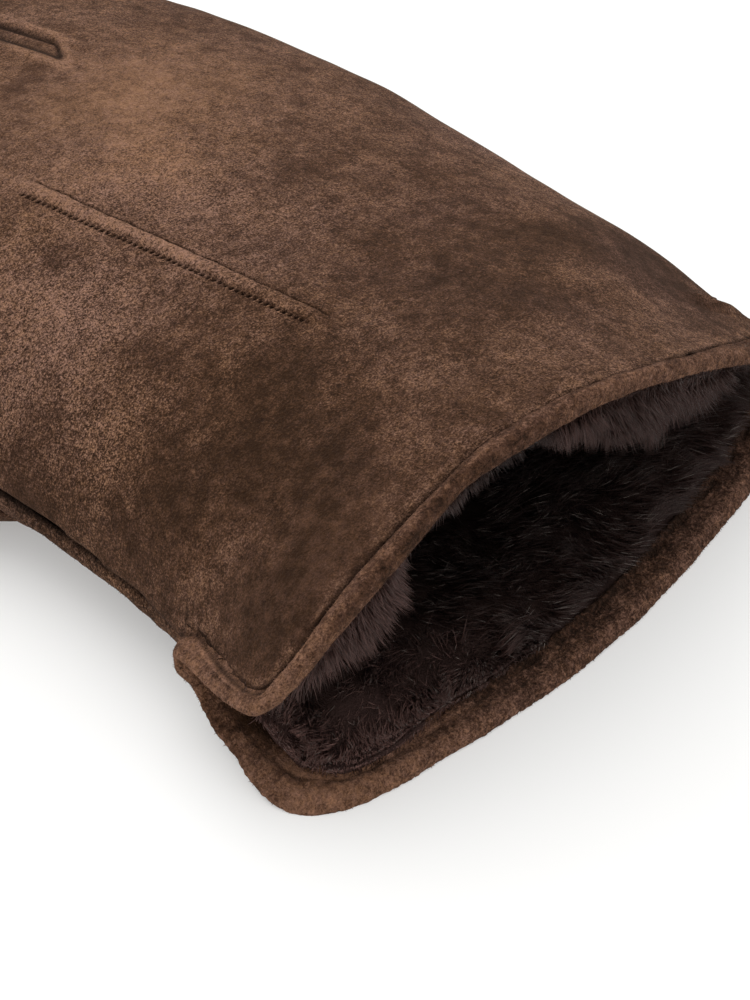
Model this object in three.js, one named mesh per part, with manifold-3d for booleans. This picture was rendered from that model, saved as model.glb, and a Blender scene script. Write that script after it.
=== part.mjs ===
// A man's suede glove for the right hand, lying palm down, with a fur lining that shows at the cuff.
// Millimetres. +Y runs from the cuff to the fingertips, +Z is up, the thumb is at -X.
// While it is being made, y = 0 is just in front of the cuff and z = 0 is the table.
import * as THREE from 'three';
import { mergeVertices } from 'three/addons/utils/BufferGeometryUtils.js';
import Module from 'manifold-3d';

const wasm = await Module();
wasm.setup();

// Driving sizes
const SUEDE = 1.6;              // thickness of the suede
const GAP = 0.3;                // clearance between sewn pieces
const SEAM_HEIGHT = 12;         // the side seams run at this height
const SETTLE = 1.2;             // how far the palm is pressed flat by the table
const BAND_WIDTH = 4.2;         // rolled binding round the cuff and the vent
const BACKING = 1.2;            // hide under the fur
const PILE_LOW = 4.0;           // fur between two locks
const PILE_HIGH = 7.5;          // fur at the tip of a lock
const LINING_END = 84;          // the lining is built as far as it can be seen from the mouth
const LOCK_LENGTH = 15;         // from one row of locks to the next
const LOCK_CREST = 0.8;         // where a lock is highest, as a share of that
const KNUCKLES = 181;           // the hand starts to round into the middle finger forks here
const KNUCKLE_MIDDLE = -8;      // x at which the knuckle line reaches furthest
const KNUCKLE_CURVE = 0.0032;   // and how fast it falls back to both sides
const WEB_ROUND = 7;            // length of the rounded end of the hand
const WEB_NARROWS = 0.05;       // share of its width that the hand loses there
const WEB_HEIGHT = 0.25;        // height of its last ring, as a share
const FOURCHETTE_LOW = 6.5;     // the strips between the fingers run from this height
const FOURCHETTE_HIGH = 17.5;   // to this one
const MOUTH_LEAD = 30;          // the hollows run on this far in front of the cuff, to leave it open

// How finely the shapes are divided
const CUFF_COLUMNS = 40;        // points round the hand
const CURVE_STEPS = 600;        // steps along the cuff's edge when it is measured
const MOVE_STEPS = 4;           // steps in which a line is moved over the skin
const FINGER_SIDES = 16;
const TUCK_STEPS = 14;
const HAND_EVEN_BY = 0.3;       // the hand's columns are evenly spread from this share of its length
const LINING_EVEN_BY = 0.4;     // and the lining's from this share of its own
const SAME_POINT = 1e-4;        // points closer than this are one

// The hand, as sections across it: outline, crown of the back, and how full each side is
const handSections = [
  { y: -20, left: -61, right: 58.5, crown: 39.4, crownX: -10, fullLeft: 1.5, fullRight: 1.1, under: 6 },
  { y: 6, left: -60, right: 57, crown: 39, crownX: -10, fullLeft: 1.5, fullRight: 1.14, under: 6 },
  { y: 14, left: -58.5, right: 56, crown: 38.8, crownX: -9.5, fullLeft: 1.55, fullRight: 1.2, under: 5.5 },
  { y: 22, left: -55, right: 55.5, crown: 38.4, crownX: -9, fullLeft: 1.65, fullRight: 1.35, under: 4 },
  { y: 31, left: -50.5, right: 55.5, crown: 38, crownX: -8, fullLeft: 1.8, fullRight: 1.65, under: 2.8 },
  { y: 44, left: -48, right: 56.5, crown: 37.5, crownX: -6.5, fullLeft: 1.95, fullRight: 1.9, under: 2.2 },
  { y: 70, left: -45.6, right: 59.5, crown: 37, crownX: -4, fullLeft: 2.05, fullRight: 2, under: 2.1 },
  { y: 98, left: -47, right: 62.5, crown: 36.4, crownX: 0, fullLeft: 2.1, fullRight: 2.1, under: 2.2 },
  { y: 125, left: -51, right: 62.5, crown: 34.5, crownX: 2, fullLeft: 2.2, fullRight: 2.2, under: 2.3 },
  { y: 152, left: -55, right: 59, crown: 31.5, crownX: 1, fullLeft: 2.4, fullRight: 2.4, under: 2.4 },
  { y: 172, left: -57, right: 54, crown: 28, crownX: -2, fullLeft: 2.6, fullRight: 2.6, under: 2.6 },
  { y: 190, left: -57, right: 51, crown: 22, crownX: -3, fullLeft: 2.8, fullRight: 2.8, under: 2.6 },
];
const CROWN_SOFTNESS = 0.18;    // keeps the crown round where the sides are straight
const ROUND_SIDE = 2.2;         // a side as full as this needs no softening

// Free edge of the cuff: up one side of the vent, over the back, round the right end,
// along the palm and back up the vent. Angle 180 is the left seam, 90 the crown, 0 the right seam.
const cuffEdge = [
  { angle: 180, y: 31.5 },
  { angle: 176, y: 25 },
  { angle: 171, y: 18.5 },
  { angle: 166, y: 14 },
  { angle: 156, y: 11.3 },
  { angle: 125, y: 8.5 },
  { angle: 95, y: 7 },
  { angle: 70, y: 7.5 },
  { angle: 45, y: 10.2 },
  { angle: 20, y: 14.5 },
  { angle: 0, y: 16.8 },
  { angle: -20, y: 14.5 },
  { angle: -35, y: 11.7 },
  { angle: -50, y: 8.8 },
  { angle: -66, y: 5.6 },
  { angle: -80, y: 3.2 },
  { angle: -97, y: 2.6 },
  { angle: -115, y: 3.8 },
  { angle: -131, y: 5 },
  { angle: -145, y: 7.4 },
  { angle: -156, y: 12 },
  { angle: -164, y: 18 },
  { angle: -173, y: 26 },
];

// Broad soft hollows in the back of the hand
const hollows = [
  { x: 42, y: 17, across: 13, along: 13, depth: 1.6 },
  { x: -30, y: 70, across: 14, along: 26, depth: 0.8 },
  { x: 22, y: 84, across: 16, along: 22, depth: 0.6 },
  { x: -2, y: 150, across: 30, along: 14, depth: 0.7 },
];

// Stitched tucks on the back: the long one over the wrist and three on the knuckles
const tucks = [
  { fromX: -13, fromY: 47, toX: -16, toY: 100 },
  { fromX: 17.5, fromY: 130, toX: 19, toY: 178 },
  { fromX: -9, fromY: 133, toX: -7, toY: 181 },
  { fromX: -35, fromY: 131, toX: -33, toY: 178 },
];
const TUCK_WIDTH = 2.2;
const TUCK_HEIGHT = 1.1;
const TUCK_TAPER = 0.14;        // share of its length in which a tuck fades in
const TUCK_END = 0.3;           // its size at the very end

// Section of a tuck, in shares of its width and height
const tuckProfile = [
  { across: -0.5, up: -0.8 },
  { across: 0.5, up: -0.8 },
  { across: 0.5, up: 0.3 },
  { across: 0.25, up: 1 },
  { across: -0.25, up: 1 },
  { across: -0.5, up: 0.3 },
];

// Section of the rolled binding: share of its width from the edge, and depth under the suede's face
const bindingProfile = [
  { share: 0, inset: 0.3 },
  { share: 0.1, inset: -0.4 },
  { share: 0.5, inset: -0.7 },
  { share: 0.9, inset: -0.4 },
  { share: 1, inset: 0.2 },
  { share: 1, inset: 1.5 },
  { share: 0.8, inset: 1.9 },
  { share: 0.2, inset: 1.9 },
  { share: 0, inset: 1.4 },
];

// Fingers, from a root inside the hand to the tip
const fingers = [
  {
    name: 'index', rootX: -41, rootY: 148, tipX: -50, tipY: 258,
    width: 28, tipWidth: 23.5, top: 25.5, tipTop: 20,
  },
  {
    name: 'middle', rootX: -15.5, rootY: 148, tipX: -19, tipY: 271,
    width: 27.5, tipWidth: 23.5, top: 27.5, tipTop: 20.5,
  },
  {
    name: 'ring', rootX: 10.5, rootY: 148, tipX: 13, tipY: 262,
    width: 27.5, tipWidth: 23, top: 27, tipTop: 20,
  },
  {
    name: 'little', rootX: 36, rootY: 142, tipX: 43.5, tipY: 238,
    width: 26.5, tipWidth: 21.5, top: 24.5, tipTop: 19,
  },
];
const thumbTube = {
  rootX: -20, rootY: 72, tipX: -88, tipY: 167,
  width: 41, tipWidth: 25, top: 28, tipTop: 21,
};
const FORKS = [179.4, 181, 177.2];  // y of the three finger forks
const ROOT_SHARE = 0.82;        // a tube starts narrower, buried in the hand, and swells out of it
const SWOLLEN_BY = 0.26;        // share of its length at which it has its full width
const FINGER_FULLNESS = 2.3;    // 2 is an ellipse, and more is squarer
const TIP_ROUND = 15;           // length of a rounded fingertip
const TIP_FULLNESS = 2.4;
const TIP_BLUNT = 0.12;         // the last ring of a fingertip, as a share of its width

// Where the rings of the hand and of a finger lie, as shares of their length
const handShares = [0, 0.05, 0.12, 0.2, 0.3, 0.41, 0.52, 0.63, 0.75, 0.88, 1];
const webShares = [0.5, 0.85, 1];
const tubeShares = [0, 0.13, 0.26, 1];
const tipShares = [0.4, 0.72, 0.92, 1];

// Smooth reading of a table of sections at any y
function sectionAt(y) {
  const last = handSections.length - 2;
  let i = 0;
  while (i < last && y > handSections[i + 1].y) i += 1;
  const rows = [i - 1, i, i + 1, i + 2].map((k) => handSections[Math.min(Math.max(k, 0), last + 1)]);
  const span = rows[2].y - rows[1].y;
  const t = THREE.MathUtils.clamp((y - rows[1].y) / span, 0, 1);
  const slope = (key, from, to) => (to[key] - from[key]) / (to.y - from.y) * span;
  const read = {};
  for (const key of Object.keys(rows[0])) {
    const slopeIn = rows[0] === rows[1] ? 0 : slope(key, rows[0], rows[2]);
    const slopeOut = rows[3] === rows[2] ? 0 : slope(key, rows[1], rows[3]);
    const a = 2 * t ** 3 - 3 * t ** 2 + 1;
    const b = t ** 3 - 2 * t ** 2 + t;
    const c = -2 * t ** 3 + 3 * t ** 2;
    const d = t ** 3 - t ** 2;
    read[key] = a * rows[1][key] + b * slopeIn + c * rows[2][key] + d * slopeOut;
  }
  return read;
}

// How deep the soft hollows are at a point
function hollowDepth(x, y) {
  let depth = 0;
  for (const h of hollows) {
    depth += h.depth * Math.exp(-(((x - h.x) / h.across) ** 2) - ((y - h.y) / h.along) ** 2);
  }
  return depth;
}

// A point of the hand's skin; inset moves it inwards
function handPoint(angle, y, inset = 0) {
  const s = sectionAt(y);
  const t = THREE.MathUtils.degToRad(angle);
  const across = Math.cos(t);
  const share = Math.abs(across);
  const left = s.left + inset;
  const right = s.right - inset;
  const x = s.crownX + across * (across < 0 ? s.crownX - left : right - s.crownX);
  if (Math.sin(t) >= 0) {
    const full = across < 0 ? s.fullLeft : s.fullRight;
    const soft = CROWN_SOFTNESS * (ROUND_SIDE - Math.min(full, ROUND_SIDE));
    const eased = (Math.hypot(share, soft) - soft) / (Math.hypot(1, soft) - soft);
    const rise = Math.max(1 - eased ** full, 0) ** (1 / full);
    const crown = s.crown - inset - hollowDepth(x, y);
    return new THREE.Vector3(x, y, SEAM_HEIGHT + (crown - SEAM_HEIGHT) * rise);
  }
  const drop = Math.max(1 - share ** s.under, 0) ** (1 / s.under);
  const z = SEAM_HEIGHT - (SEAM_HEIGHT + SETTLE - inset) * drop;
  return new THREE.Vector3(x, y, Math.max(z, inset, 0));
}

// Height of the back of the hand over a point of the table
function backHeight(x, y) {
  const s = sectionAt(y);
  const half = x < s.crownX ? s.crownX - s.left : s.right - s.crownX;
  const angle = THREE.MathUtils.radToDeg(Math.acos(THREE.MathUtils.clamp((x - s.crownX) / half, -1, 1)));
  return handPoint(angle, y).z;
}

// A closed solid through rings of points, capped with a fan at both ends
function loft(rings) {
  const sides = rings[0].length;
  const positions = [];
  const triangles = [];
  for (const ring of rings) for (const p of ring) positions.push(p.x, p.y, p.z);
  for (let r = 0; r + 1 < rings.length; r += 1) {
    for (let i = 0; i < sides; i += 1) {
      const a = r * sides + i;
      const b = r * sides + (i + 1) % sides;
      triangles.push(a, b, a + sides, b, b + sides, a + sides);
    }
  }
  for (const r of [0, rings.length - 1]) {
    const centre = rings[r].reduce((sum, p) => sum.add(p), new THREE.Vector3()).divideScalar(sides);
    const hub = positions.length / 3;
    positions.push(centre.x, centre.y, centre.z);
    for (let i = 0; i < sides; i += 1) {
      const a = r * sides + i;
      const b = r * sides + (i + 1) % sides;
      triangles.push(...(r === 0 ? [hub, b, a] : [hub, a, b]));
    }
  }
  return solidFrom(positions, triangles);
}

// A closed solid swept round a loop of sections
function ringLoft(sections) {
  const sides = sections[0].length;
  const positions = sections.flat().flatMap((p) => [p.x, p.y, p.z]);
  const triangles = [];
  for (let r = 0; r < sections.length; r += 1) {
    const next = (r + 1) % sections.length;
    for (let i = 0; i < sides; i += 1) {
      const a = r * sides + i;
      const b = r * sides + (i + 1) % sides;
      const c = next * sides + i;
      const d = next * sides + (i + 1) % sides;
      triangles.push(a, b, c, b, d, c);
    }
  }
  return solidFrom(positions, triangles);
}

// A solid from closed triangles, turned so that its faces point out
function solidFrom(positions, triangles) {
  const meshOf = (corners) => new wasm.Manifold(new wasm.Mesh({
    numProp: 3,
    vertProperties: new Float32Array(positions),
    triVerts: new Uint32Array(corners),
  }));
  const solid = meshOf(triangles);
  return solid.volume() >= 0 ? solid : meshOf(triangles.toReversed());
}

// An upright prism over an outline in the table's plane
function prism(outline, z0, z1) {
  const shape = new THREE.Shape(outline.map(([x, y]) => new THREE.Vector2(x, y)));
  const geometry = new THREE.ExtrudeGeometry(shape, { depth: z1 - z0, bevelEnabled: false });
  geometry.translate(0, 0, z0);
  geometry.deleteAttribute('normal');
  geometry.deleteAttribute('uv');
  const merged = mergeVertices(geometry, SAME_POINT);
  return solidFrom(Array.from(merged.attributes.position.array), Array.from(merged.index.array));
}

// The free edge of the cuff as evenly spaced points, from the top of the vent round and back to it
function edgeLoop(count) {
  const closed = [...cuffEdge, { angle: -180, y: cuffEdge[0].y }];
  const curve = new THREE.CatmullRomCurve3(
    closed.map((p) => new THREE.Vector3(p.angle, p.y, 0)), false, 'centripetal');
  const dense = curve.getPoints(CURVE_STEPS);
  const lengths = [0];
  for (let i = 1; i < dense.length; i += 1) {
    const step = handPoint(dense[i].x, dense[i].y).distanceTo(handPoint(dense[i - 1].x, dense[i - 1].y));
    lengths.push(lengths[i - 1] + step);
  }
  const loop = [];
  let k = 0;
  for (let i = 0; i < count; i += 1) {
    const want = lengths.at(-1) * i / count;
    while (lengths[k + 1] < want) k += 1;
    const f = (want - lengths[k]) / (lengths[k + 1] - lengths[k]);
    loop.push({
      angle: THREE.MathUtils.lerp(dense[k].x, dense[k + 1].x, f),
      y: THREE.MathUtils.lerp(dense[k].y, dense[k + 1].y, f),
    });
  }
  return loop;
}

// The same loop moved over the skin, away from the edge
function behind(loop, distance) {
  const step = distance / MOVE_STEPS;
  let moved = loop.map((p) => ({ ...p }));
  for (let s = 0; s < MOVE_STEPS; s += 1) {
    moved = moved.map((p, i) => {
      const before = loop[(i + loop.length - 1) % loop.length];
      const after = loop[(i + 1) % loop.length];
      const along = handPoint(after.angle, after.y).sub(handPoint(before.angle, before.y)).normalize();
      const here = handPoint(p.angle, p.y);
      const byAngle = handPoint(p.angle + 1, p.y).sub(handPoint(p.angle - 1, p.y)).divideScalar(2);
      const byY = handPoint(p.angle, p.y + 1).sub(here);
      const outward = new THREE.Vector3().crossVectors(byAngle, byY).normalize();
      const inwards = new THREE.Vector3().crossVectors(along, outward).normalize();
      return {
        angle: p.angle + step * inwards.dot(byAngle) / byAngle.lengthSq(),
        y: p.y + step * inwards.dot(byY) / byY.lengthSq(),
      };
    });
  }
  return moved;
}

const edge = edgeLoop(CUFF_COLUMNS);
const seamLine = behind(edge, BAND_WIDTH + GAP);

// One ring round the hand, a share of the way from a line near the cuff to the y that endAt gives.
// The points even out round the hand until the share reaches evenBy.
function ringBetween(line, endAt, share, evenBy, inset) {
  return line.map((p, i) => {
    const even = 180 - 360 * i / line.length;
    const angle = THREE.MathUtils.lerp(p.angle, even, THREE.MathUtils.smoothstep(share, 0, evenBy));
    return handPoint(angle, THREE.MathUtils.lerp(p.y, endAt(angle), share), inset);
  });
}

// y of the curved knuckle line at any angle round the hand
function knuckleLine(angle) {
  return KNUCKLES - KNUCKLE_CURVE * (handPoint(angle, KNUCKLES).x - KNUCKLE_MIDDLE) ** 2;
}

function movedAlong(ring, distance) {
  return ring.map((p) => p.clone().setY(p.y + distance));
}

// Rings of the hand from the binding's seam line to the knuckles and the rounded end
function handRings(inset) {
  const rings = handShares.map((share) => ringBetween(seamLine, knuckleLine, share, HAND_EVEN_BY, inset));
  const middle = new THREE.Vector3(0, 0, SEAM_HEIGHT);
  const webs = webShares.map((share) => {
    const height = Math.max(Math.sqrt(1 - share ** 2), WEB_HEIGHT);
    const narrow = new THREE.Vector3(1 - WEB_NARROWS * share, 1, height);
    const ring = rings.at(-1).map((p) => p.clone().sub(middle).multiply(narrow).add(middle));
    return movedAlong(ring, (WEB_ROUND - inset) * share);
  });
  return [...rings, ...webs];
}

// A finger tube from its root inside the hand to a rounded tip
function fingerRings(f, inset) {
  const start = new THREE.Vector3(f.rootX, f.rootY, SEAM_HEIGHT);
  const tip = new THREE.Vector3(f.tipX, f.tipY, SEAM_HEIGHT);
  const length = start.distanceTo(tip);
  const along = tip.clone().sub(start).normalize();
  const side = new THREE.Vector3(along.y, -along.x, 0);
  const straight = tubeShares.map((q) => q * (length - TIP_ROUND));
  const rounded = tipShares.map((q) => length - TIP_ROUND + q * (TIP_ROUND - inset));
  return [...straight, ...rounded].map((distance) => {
    const q = distance / length;
    const into = Math.max(distance - (length - TIP_ROUND), 0) / (TIP_ROUND - inset);
    const root = THREE.MathUtils.lerp(ROOT_SHARE, 1, THREE.MathUtils.smoothstep(q, 0, SWOLLEN_BY));
    const round = root * Math.max(Math.sqrt(Math.max(1 - into ** TIP_FULLNESS, 0)), TIP_BLUNT);
    const half = (THREE.MathUtils.lerp(f.width, f.tipWidth, q) / 2 - inset) * round;
    const over = (THREE.MathUtils.lerp(f.top, f.tipTop, q) - SEAM_HEIGHT - inset) * round;
    const under = (SEAM_HEIGHT + SETTLE - inset) * round;
    const ring = [];
    for (let i = 0; i < FINGER_SIDES; i += 1) {
      const t = -2 * Math.PI * i / FINGER_SIDES;
      const across = Math.sign(Math.cos(t)) * Math.abs(Math.cos(t)) ** (2 / FINGER_FULLNESS) * half;
      const rise = Math.sign(Math.sin(t)) * Math.abs(Math.sin(t)) ** (2 / FINGER_FULLNESS);
      const p = start.clone().addScaledVector(along, distance).addScaledVector(side, across);
      ring.push(p.setZ(Math.max(SEAM_HEIGHT + rise * (rise > 0 ? over : under), inset, 0)));
    }
    return ring;
  });
}

// x of a finger's centre line at any y
function centreX(f, y) {
  return THREE.MathUtils.mapLinear(y, f.rootY, f.tipY, f.rootX, f.tipX);
}

// The space between two fingers, from the fork nearly to the shorter tip
function forkZone(i, margin) {
  const [a, b] = [fingers[i], fingers[i + 1]];
  const y0 = FORKS[i] + margin;
  const y1 = Math.min(a.tipY, b.tipY) - TIP_ROUND / 2 - margin;
  const outline = [
    [centreX(a, y0) + margin, y0],
    [centreX(b, y0) - margin, y0],
    [centreX(b, y1) - margin, y1],
    [centreX(a, y1) + margin, y1],
  ];
  return prism(outline, FOURCHETTE_LOW + margin, FOURCHETTE_HIGH - margin);
}

// A stitched tuck standing up from the back of the hand
function tuckRib(tuck) {
  const from = new THREE.Vector2(tuck.fromX, tuck.fromY);
  const to = new THREE.Vector2(tuck.toX, tuck.toY);
  const side = to.clone().sub(from).normalize().rotateAround(new THREE.Vector2(), -Math.PI / 2);
  const rings = [];
  for (let i = 0; i <= TUCK_STEPS; i += 1) {
    const middle = from.clone().lerp(to, i / TUCK_STEPS);
    const fromEnd = Math.min(i, TUCK_STEPS - i) / TUCK_STEPS;
    const swell = THREE.MathUtils.mapLinear(Math.min(fromEnd, TUCK_TAPER), 0, TUCK_TAPER, TUCK_END, 1);
    rings.push(tuckProfile.map(({ across, up }) => {
      const p = middle.clone().addScaledVector(side, across * TUCK_WIDTH * swell);
      const height = up * TUCK_HEIGHT * (up > 0 ? swell : 1);
      return new THREE.Vector3(p.x, p.y, backHeight(p.x, p.y) + height);
    }));
  }
  return loft(rings);
}

// The rolled binding, swept round the free edge of the cuff and the vent
function cuffBinding() {
  const inner = behind(edge, BAND_WIDTH);
  return ringLoft(edge.map((p, i) => bindingProfile.map(({ share, inset }) => {
    const angle = THREE.MathUtils.lerp(p.angle, inner[i].angle, share);
    return handPoint(angle, THREE.MathUtils.lerp(p.y, inner[i].y, share), inset);
  })));
}

// The fur lining: a thin hide inside the suede, with rows of blunt locks of fur standing inwards
function furLining() {
  const front = behind(edge, BAND_WIDTH + 2 * GAP);
  const rows = Math.round(LINING_END / LOCK_LENGTH);
  const outside = [];
  const inside = [];
  for (let r = 0; r <= rows; r += 1) {
    for (const crest of r < rows ? [false, true] : [false]) {
      const share = (r + (crest ? LOCK_CREST : 0)) / rows;
      const ring = (inset) => ringBetween(front, () => LINING_END, share, LINING_EVEN_BY, inset);
      const low = ring(SUEDE + GAP + BACKING + PILE_LOW);
      const high = ring(SUEDE + GAP + BACKING + PILE_HIGH);
      outside.push(ring(0));
      inside.push(low.map((p, i) => (crest && (i + r) % 2 === 0 ? high[i] : p)));
    }
  }
  const hollow = [movedAlong(inside[0], -MOUTH_LEAD), ...inside, movedAlong(inside.at(-1), 1)];
  return loft(outside).intersect(hollowBody(SUEDE + GAP)).subtract(loft(hollow));
}

// The whole glove without its thumb, filled. Its front turns in square to the skin, beside the binding.
function filledBody(inset) {
  const face = ringBetween(seamLine, knuckleLine, 0, 1, inset + 2 * SUEDE);
  const hand = loft([face, ...handRings(inset)]);
  return fingers.reduce((sum, f) => sum.add(loft(fingerRings(f, inset))), hand);
}

// The same, running on in front of the cuff
function hollowBody(inset) {
  const rings = handRings(inset);
  return filledBody(inset).add(loft([movedAlong(rings[0], -MOUTH_LEAD), ...rings]));
}

const inside = hollowBody(SUEDE);
const thumbOuter = loft(fingerRings(thumbTube, 0));
const thumbInner = loft(fingerRings(thumbTube, SUEDE));
const suede = filledBody(0).subtract(inside).subtract(thumbInner);

// The suede parts at the side seams into the back and the palm
const everywhere = [[-200, -60], [200, -60], [200, 320], [-200, 320]];
const above = prism(everywhere, SEAM_HEIGHT + GAP / 2, 80);
const below = prism(everywhere, -20, SEAM_HEIGHT - GAP / 2);
const panels = fingers.slice(0, -1).reduce((left, f, i) => left.subtract(forkZone(i, 0)), suede);
const back = tucks.reduce((sum, tuck) => sum.add(tuckRib(tuck)), panels.intersect(above));

const group = new THREE.Group();

function place(name, solid, material) {
  const mesh = solid.getMesh();
  const geometry = new THREE.BufferGeometry();
  geometry.setAttribute('position', new THREE.BufferAttribute(new Float32Array(mesh.vertProperties), 3));
  geometry.setIndex(new THREE.BufferAttribute(new Uint32Array(mesh.triVerts), 1));
  geometry.computeVertexNormals();
  const piece = new THREE.Mesh(geometry, material);
  piece.name = name;
  group.add(piece);
}

const suedeFinish = new THREE.MeshStandardMaterial({ color: 0x6e503e, roughness: 0.95, metalness: 0 });
const bindingFinish = new THREE.MeshStandardMaterial({ color: 0x7a5a3e, roughness: 0.95, metalness: 0 });
const furFinish = new THREE.MeshStandardMaterial({ color: 0x2a2122, roughness: 0.8, metalness: 0 });

place('back_panel', back.subtract(inside), suedeFinish);
place('palm_panel', panels.intersect(below), suedeFinish);
place('thumb', thumbOuter.subtract(thumbInner).subtract(filledBody(-GAP)), suedeFinish);
fingers.slice(0, -1).forEach((f, i) => {
  place(`fourchette_${f.name}_${fingers[i + 1].name}`, suede.intersect(forkZone(i, GAP)), suedeFinish);
});
place('cuff_binding', cuffBinding(), bindingFinish);
place('fur_lining', furLining(), furFinish);

// The origin is the middle of the footprint, on the table
const box = new THREE.Box3().setFromObject(group);
group.position.set(-(box.min.x + box.max.x) / 2, -(box.min.y + box.max.y) / 2, -box.min.z);

export default group;
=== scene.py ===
import math
from collections import namedtuple

import bmesh
import bpy
import numpy as np
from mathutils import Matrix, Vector, noise
from mathutils.bvhtree import BVHTree
from mathutils.kdtree import KDTree


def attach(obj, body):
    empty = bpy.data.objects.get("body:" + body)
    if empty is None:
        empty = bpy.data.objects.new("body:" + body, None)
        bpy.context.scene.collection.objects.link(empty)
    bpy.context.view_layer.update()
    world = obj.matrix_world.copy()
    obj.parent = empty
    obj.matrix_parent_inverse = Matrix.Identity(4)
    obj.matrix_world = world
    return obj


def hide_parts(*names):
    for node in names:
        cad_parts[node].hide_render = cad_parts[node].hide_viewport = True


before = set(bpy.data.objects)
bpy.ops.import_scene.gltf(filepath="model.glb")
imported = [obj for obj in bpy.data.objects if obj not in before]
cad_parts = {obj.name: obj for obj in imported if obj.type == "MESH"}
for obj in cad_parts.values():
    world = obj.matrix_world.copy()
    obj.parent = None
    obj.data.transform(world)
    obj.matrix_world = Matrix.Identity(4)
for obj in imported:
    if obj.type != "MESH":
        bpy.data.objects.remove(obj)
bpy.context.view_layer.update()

# The looks of a man's fur lined suede glove for the right hand, lying palm down.
# The glove was laid out in millimetres, with y = 0 just in front of the cuff and z = 0 on the table.
MM = 0.001
LAYOUT_X = 15.185               # from that layout to the middle of the footprint
LAYOUT_Y = -136.81
SUEDE = 1.6                     # thickness of the suede
GAP = 0.3                       # between sewn pieces
SEAM_HEIGHT = 12                # the side seams run at this height
SETTLE = 1.2                    # how far the palm is pressed flat by the table
BAND_WIDTH = 4.2                # rolled binding round the cuff and the vent
LINING_END = 84                 # y at which the lining ends, deep in the hand
CROWN_SOFTNESS = 0.18           # keeps the crown round where the sides are straight
ROUND_SIDE = 2.2                # a side as full as this needs no softening
EDGE_STEP = 0.04                # between the points of the cuff's edge, as a share of the stretch
MOVE_STEPS = 4                  # steps in which a line is moved over the skin
CLOSE = 1e-6                    # metres between two points that are one
SEED = 11
noise.seed_set(SEED)            # vector noise starts from the clock unless it is given a seed

# The hand, as sections across it: outline, crown of the back, and how full each side is
Section = namedtuple("Section", "y left right crown crown_x full_left full_right under")
HAND = [
    Section(-20, -61, 58.5, 39.4, -10, 1.5, 1.1, 6),
    Section(6, -60, 57, 39, -10, 1.5, 1.14, 6),
    Section(14, -58.5, 56, 38.8, -9.5, 1.55, 1.2, 5.5),
    Section(22, -55, 55.5, 38.4, -9, 1.65, 1.35, 4),
    Section(31, -50.5, 55.5, 38, -8, 1.8, 1.65, 2.8),
    Section(44, -48, 56.5, 37.5, -6.5, 1.95, 1.9, 2.2),
    Section(70, -45.6, 59.5, 37, -4, 2.05, 2, 2.1),
    Section(98, -47, 62.5, 36.4, 0, 2.1, 2.1, 2.2),
    Section(125, -51, 62.5, 34.5, 2, 2.2, 2.2, 2.3),
    Section(152, -55, 59, 31.5, 1, 2.4, 2.4, 2.4),
    Section(172, -57, 54, 28, -2, 2.6, 2.6, 2.6),
    Section(190, -57, 51, 22, -3, 2.8, 2.8, 2.6),
]

# Free edge of the cuff. Angle 180 is the left seam, 90 the crown, 0 the right seam.
EdgePoint = namedtuple("EdgePoint", "angle y")
CUFF_EDGE = [EdgePoint(*row) for row in (
    (180, 31.5), (176, 25), (171, 18.5), (166, 14), (156, 11.3), (125, 8.5), (95, 7), (70, 7.5),
    (45, 10.2), (20, 14.5), (0, 16.8), (-20, 14.5), (-35, 11.7), (-50, 8.8), (-66, 5.6), (-80, 3.2),
    (-97, 2.6), (-115, 3.8), (-131, 5), (-145, 7.4), (-156, 12), (-164, 18), (-173, 26), (-180, 31.5),
)]

# Broad soft hollows in the back of the hand
Hollow = namedtuple("Hollow", "x y across along depth")
HOLLOWS = [
    Hollow(42, 17, 13, 13, 1.6),
    Hollow(-30, 70, 14, 26, 0.8),
    Hollow(22, 84, 16, 22, 0.6),
    Hollow(-2, 150, 30, 14, 0.7),
]
# Where the far edge of the cuff is pressed in further than the sewn form
PINCH = Hollow(45, 28, 9, 8, 1.9)

# Stitched tucks on the back: the long one over the wrist, then three on the knuckles
Tuck = namedtuple("Tuck", "from_x from_y to_x to_y style")
TUCKS = [
    Tuck(-12.3, 47.3, -14.4, 102.2, "ridge"),
    Tuck(18.1, 130.3, 17.4, 178, "channel"),
    Tuck(-8, 134, -8.6, 181, "channel"),
    Tuck(-33, 130, -32.6, 178, "channel"),
]


# Soft curves

def smooth_between(low, high, value):
    """Rises softly from 0 at low to 1 at high."""
    t = np.clip((value - low) / (high - low), 0, 1)
    return t * t * (3 - 2 * t)


def fade_between(low, high, value):
    """Falls softly from 1 at low to 0 at high."""
    return 1 - smooth_between(low, high, value)


def bell(value, middle, width):
    """1 at the middle, and next to nothing from twice the width away."""
    return np.exp(-(((value - middle) / width) ** 2))


def spot(x, y, place):
    """The same over the layout, round a hollow or a patch."""
    return np.exp(-(((x - place.x) / place.across) ** 2) - ((y - place.y) / place.along) ** 2)


def unit(vectors):
    return vectors / np.linalg.norm(vectors, axis=1, keepdims=True)


# The shape of the hand

STOPS = np.array([s.y for s in HAND], float)
VALUES = {name: np.array([getattr(s, name) for s in HAND], float) for name in Section._fields[1:]}


def curve_weights(t):
    """Weights of a smooth curve's start, of its slope there, of its end and of its slope there."""
    return 2 * t**3 - 3 * t**2 + 1, t**3 - 2 * t**2 + t, 3 * t**2 - 2 * t**3, t**3 - t**2


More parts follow.
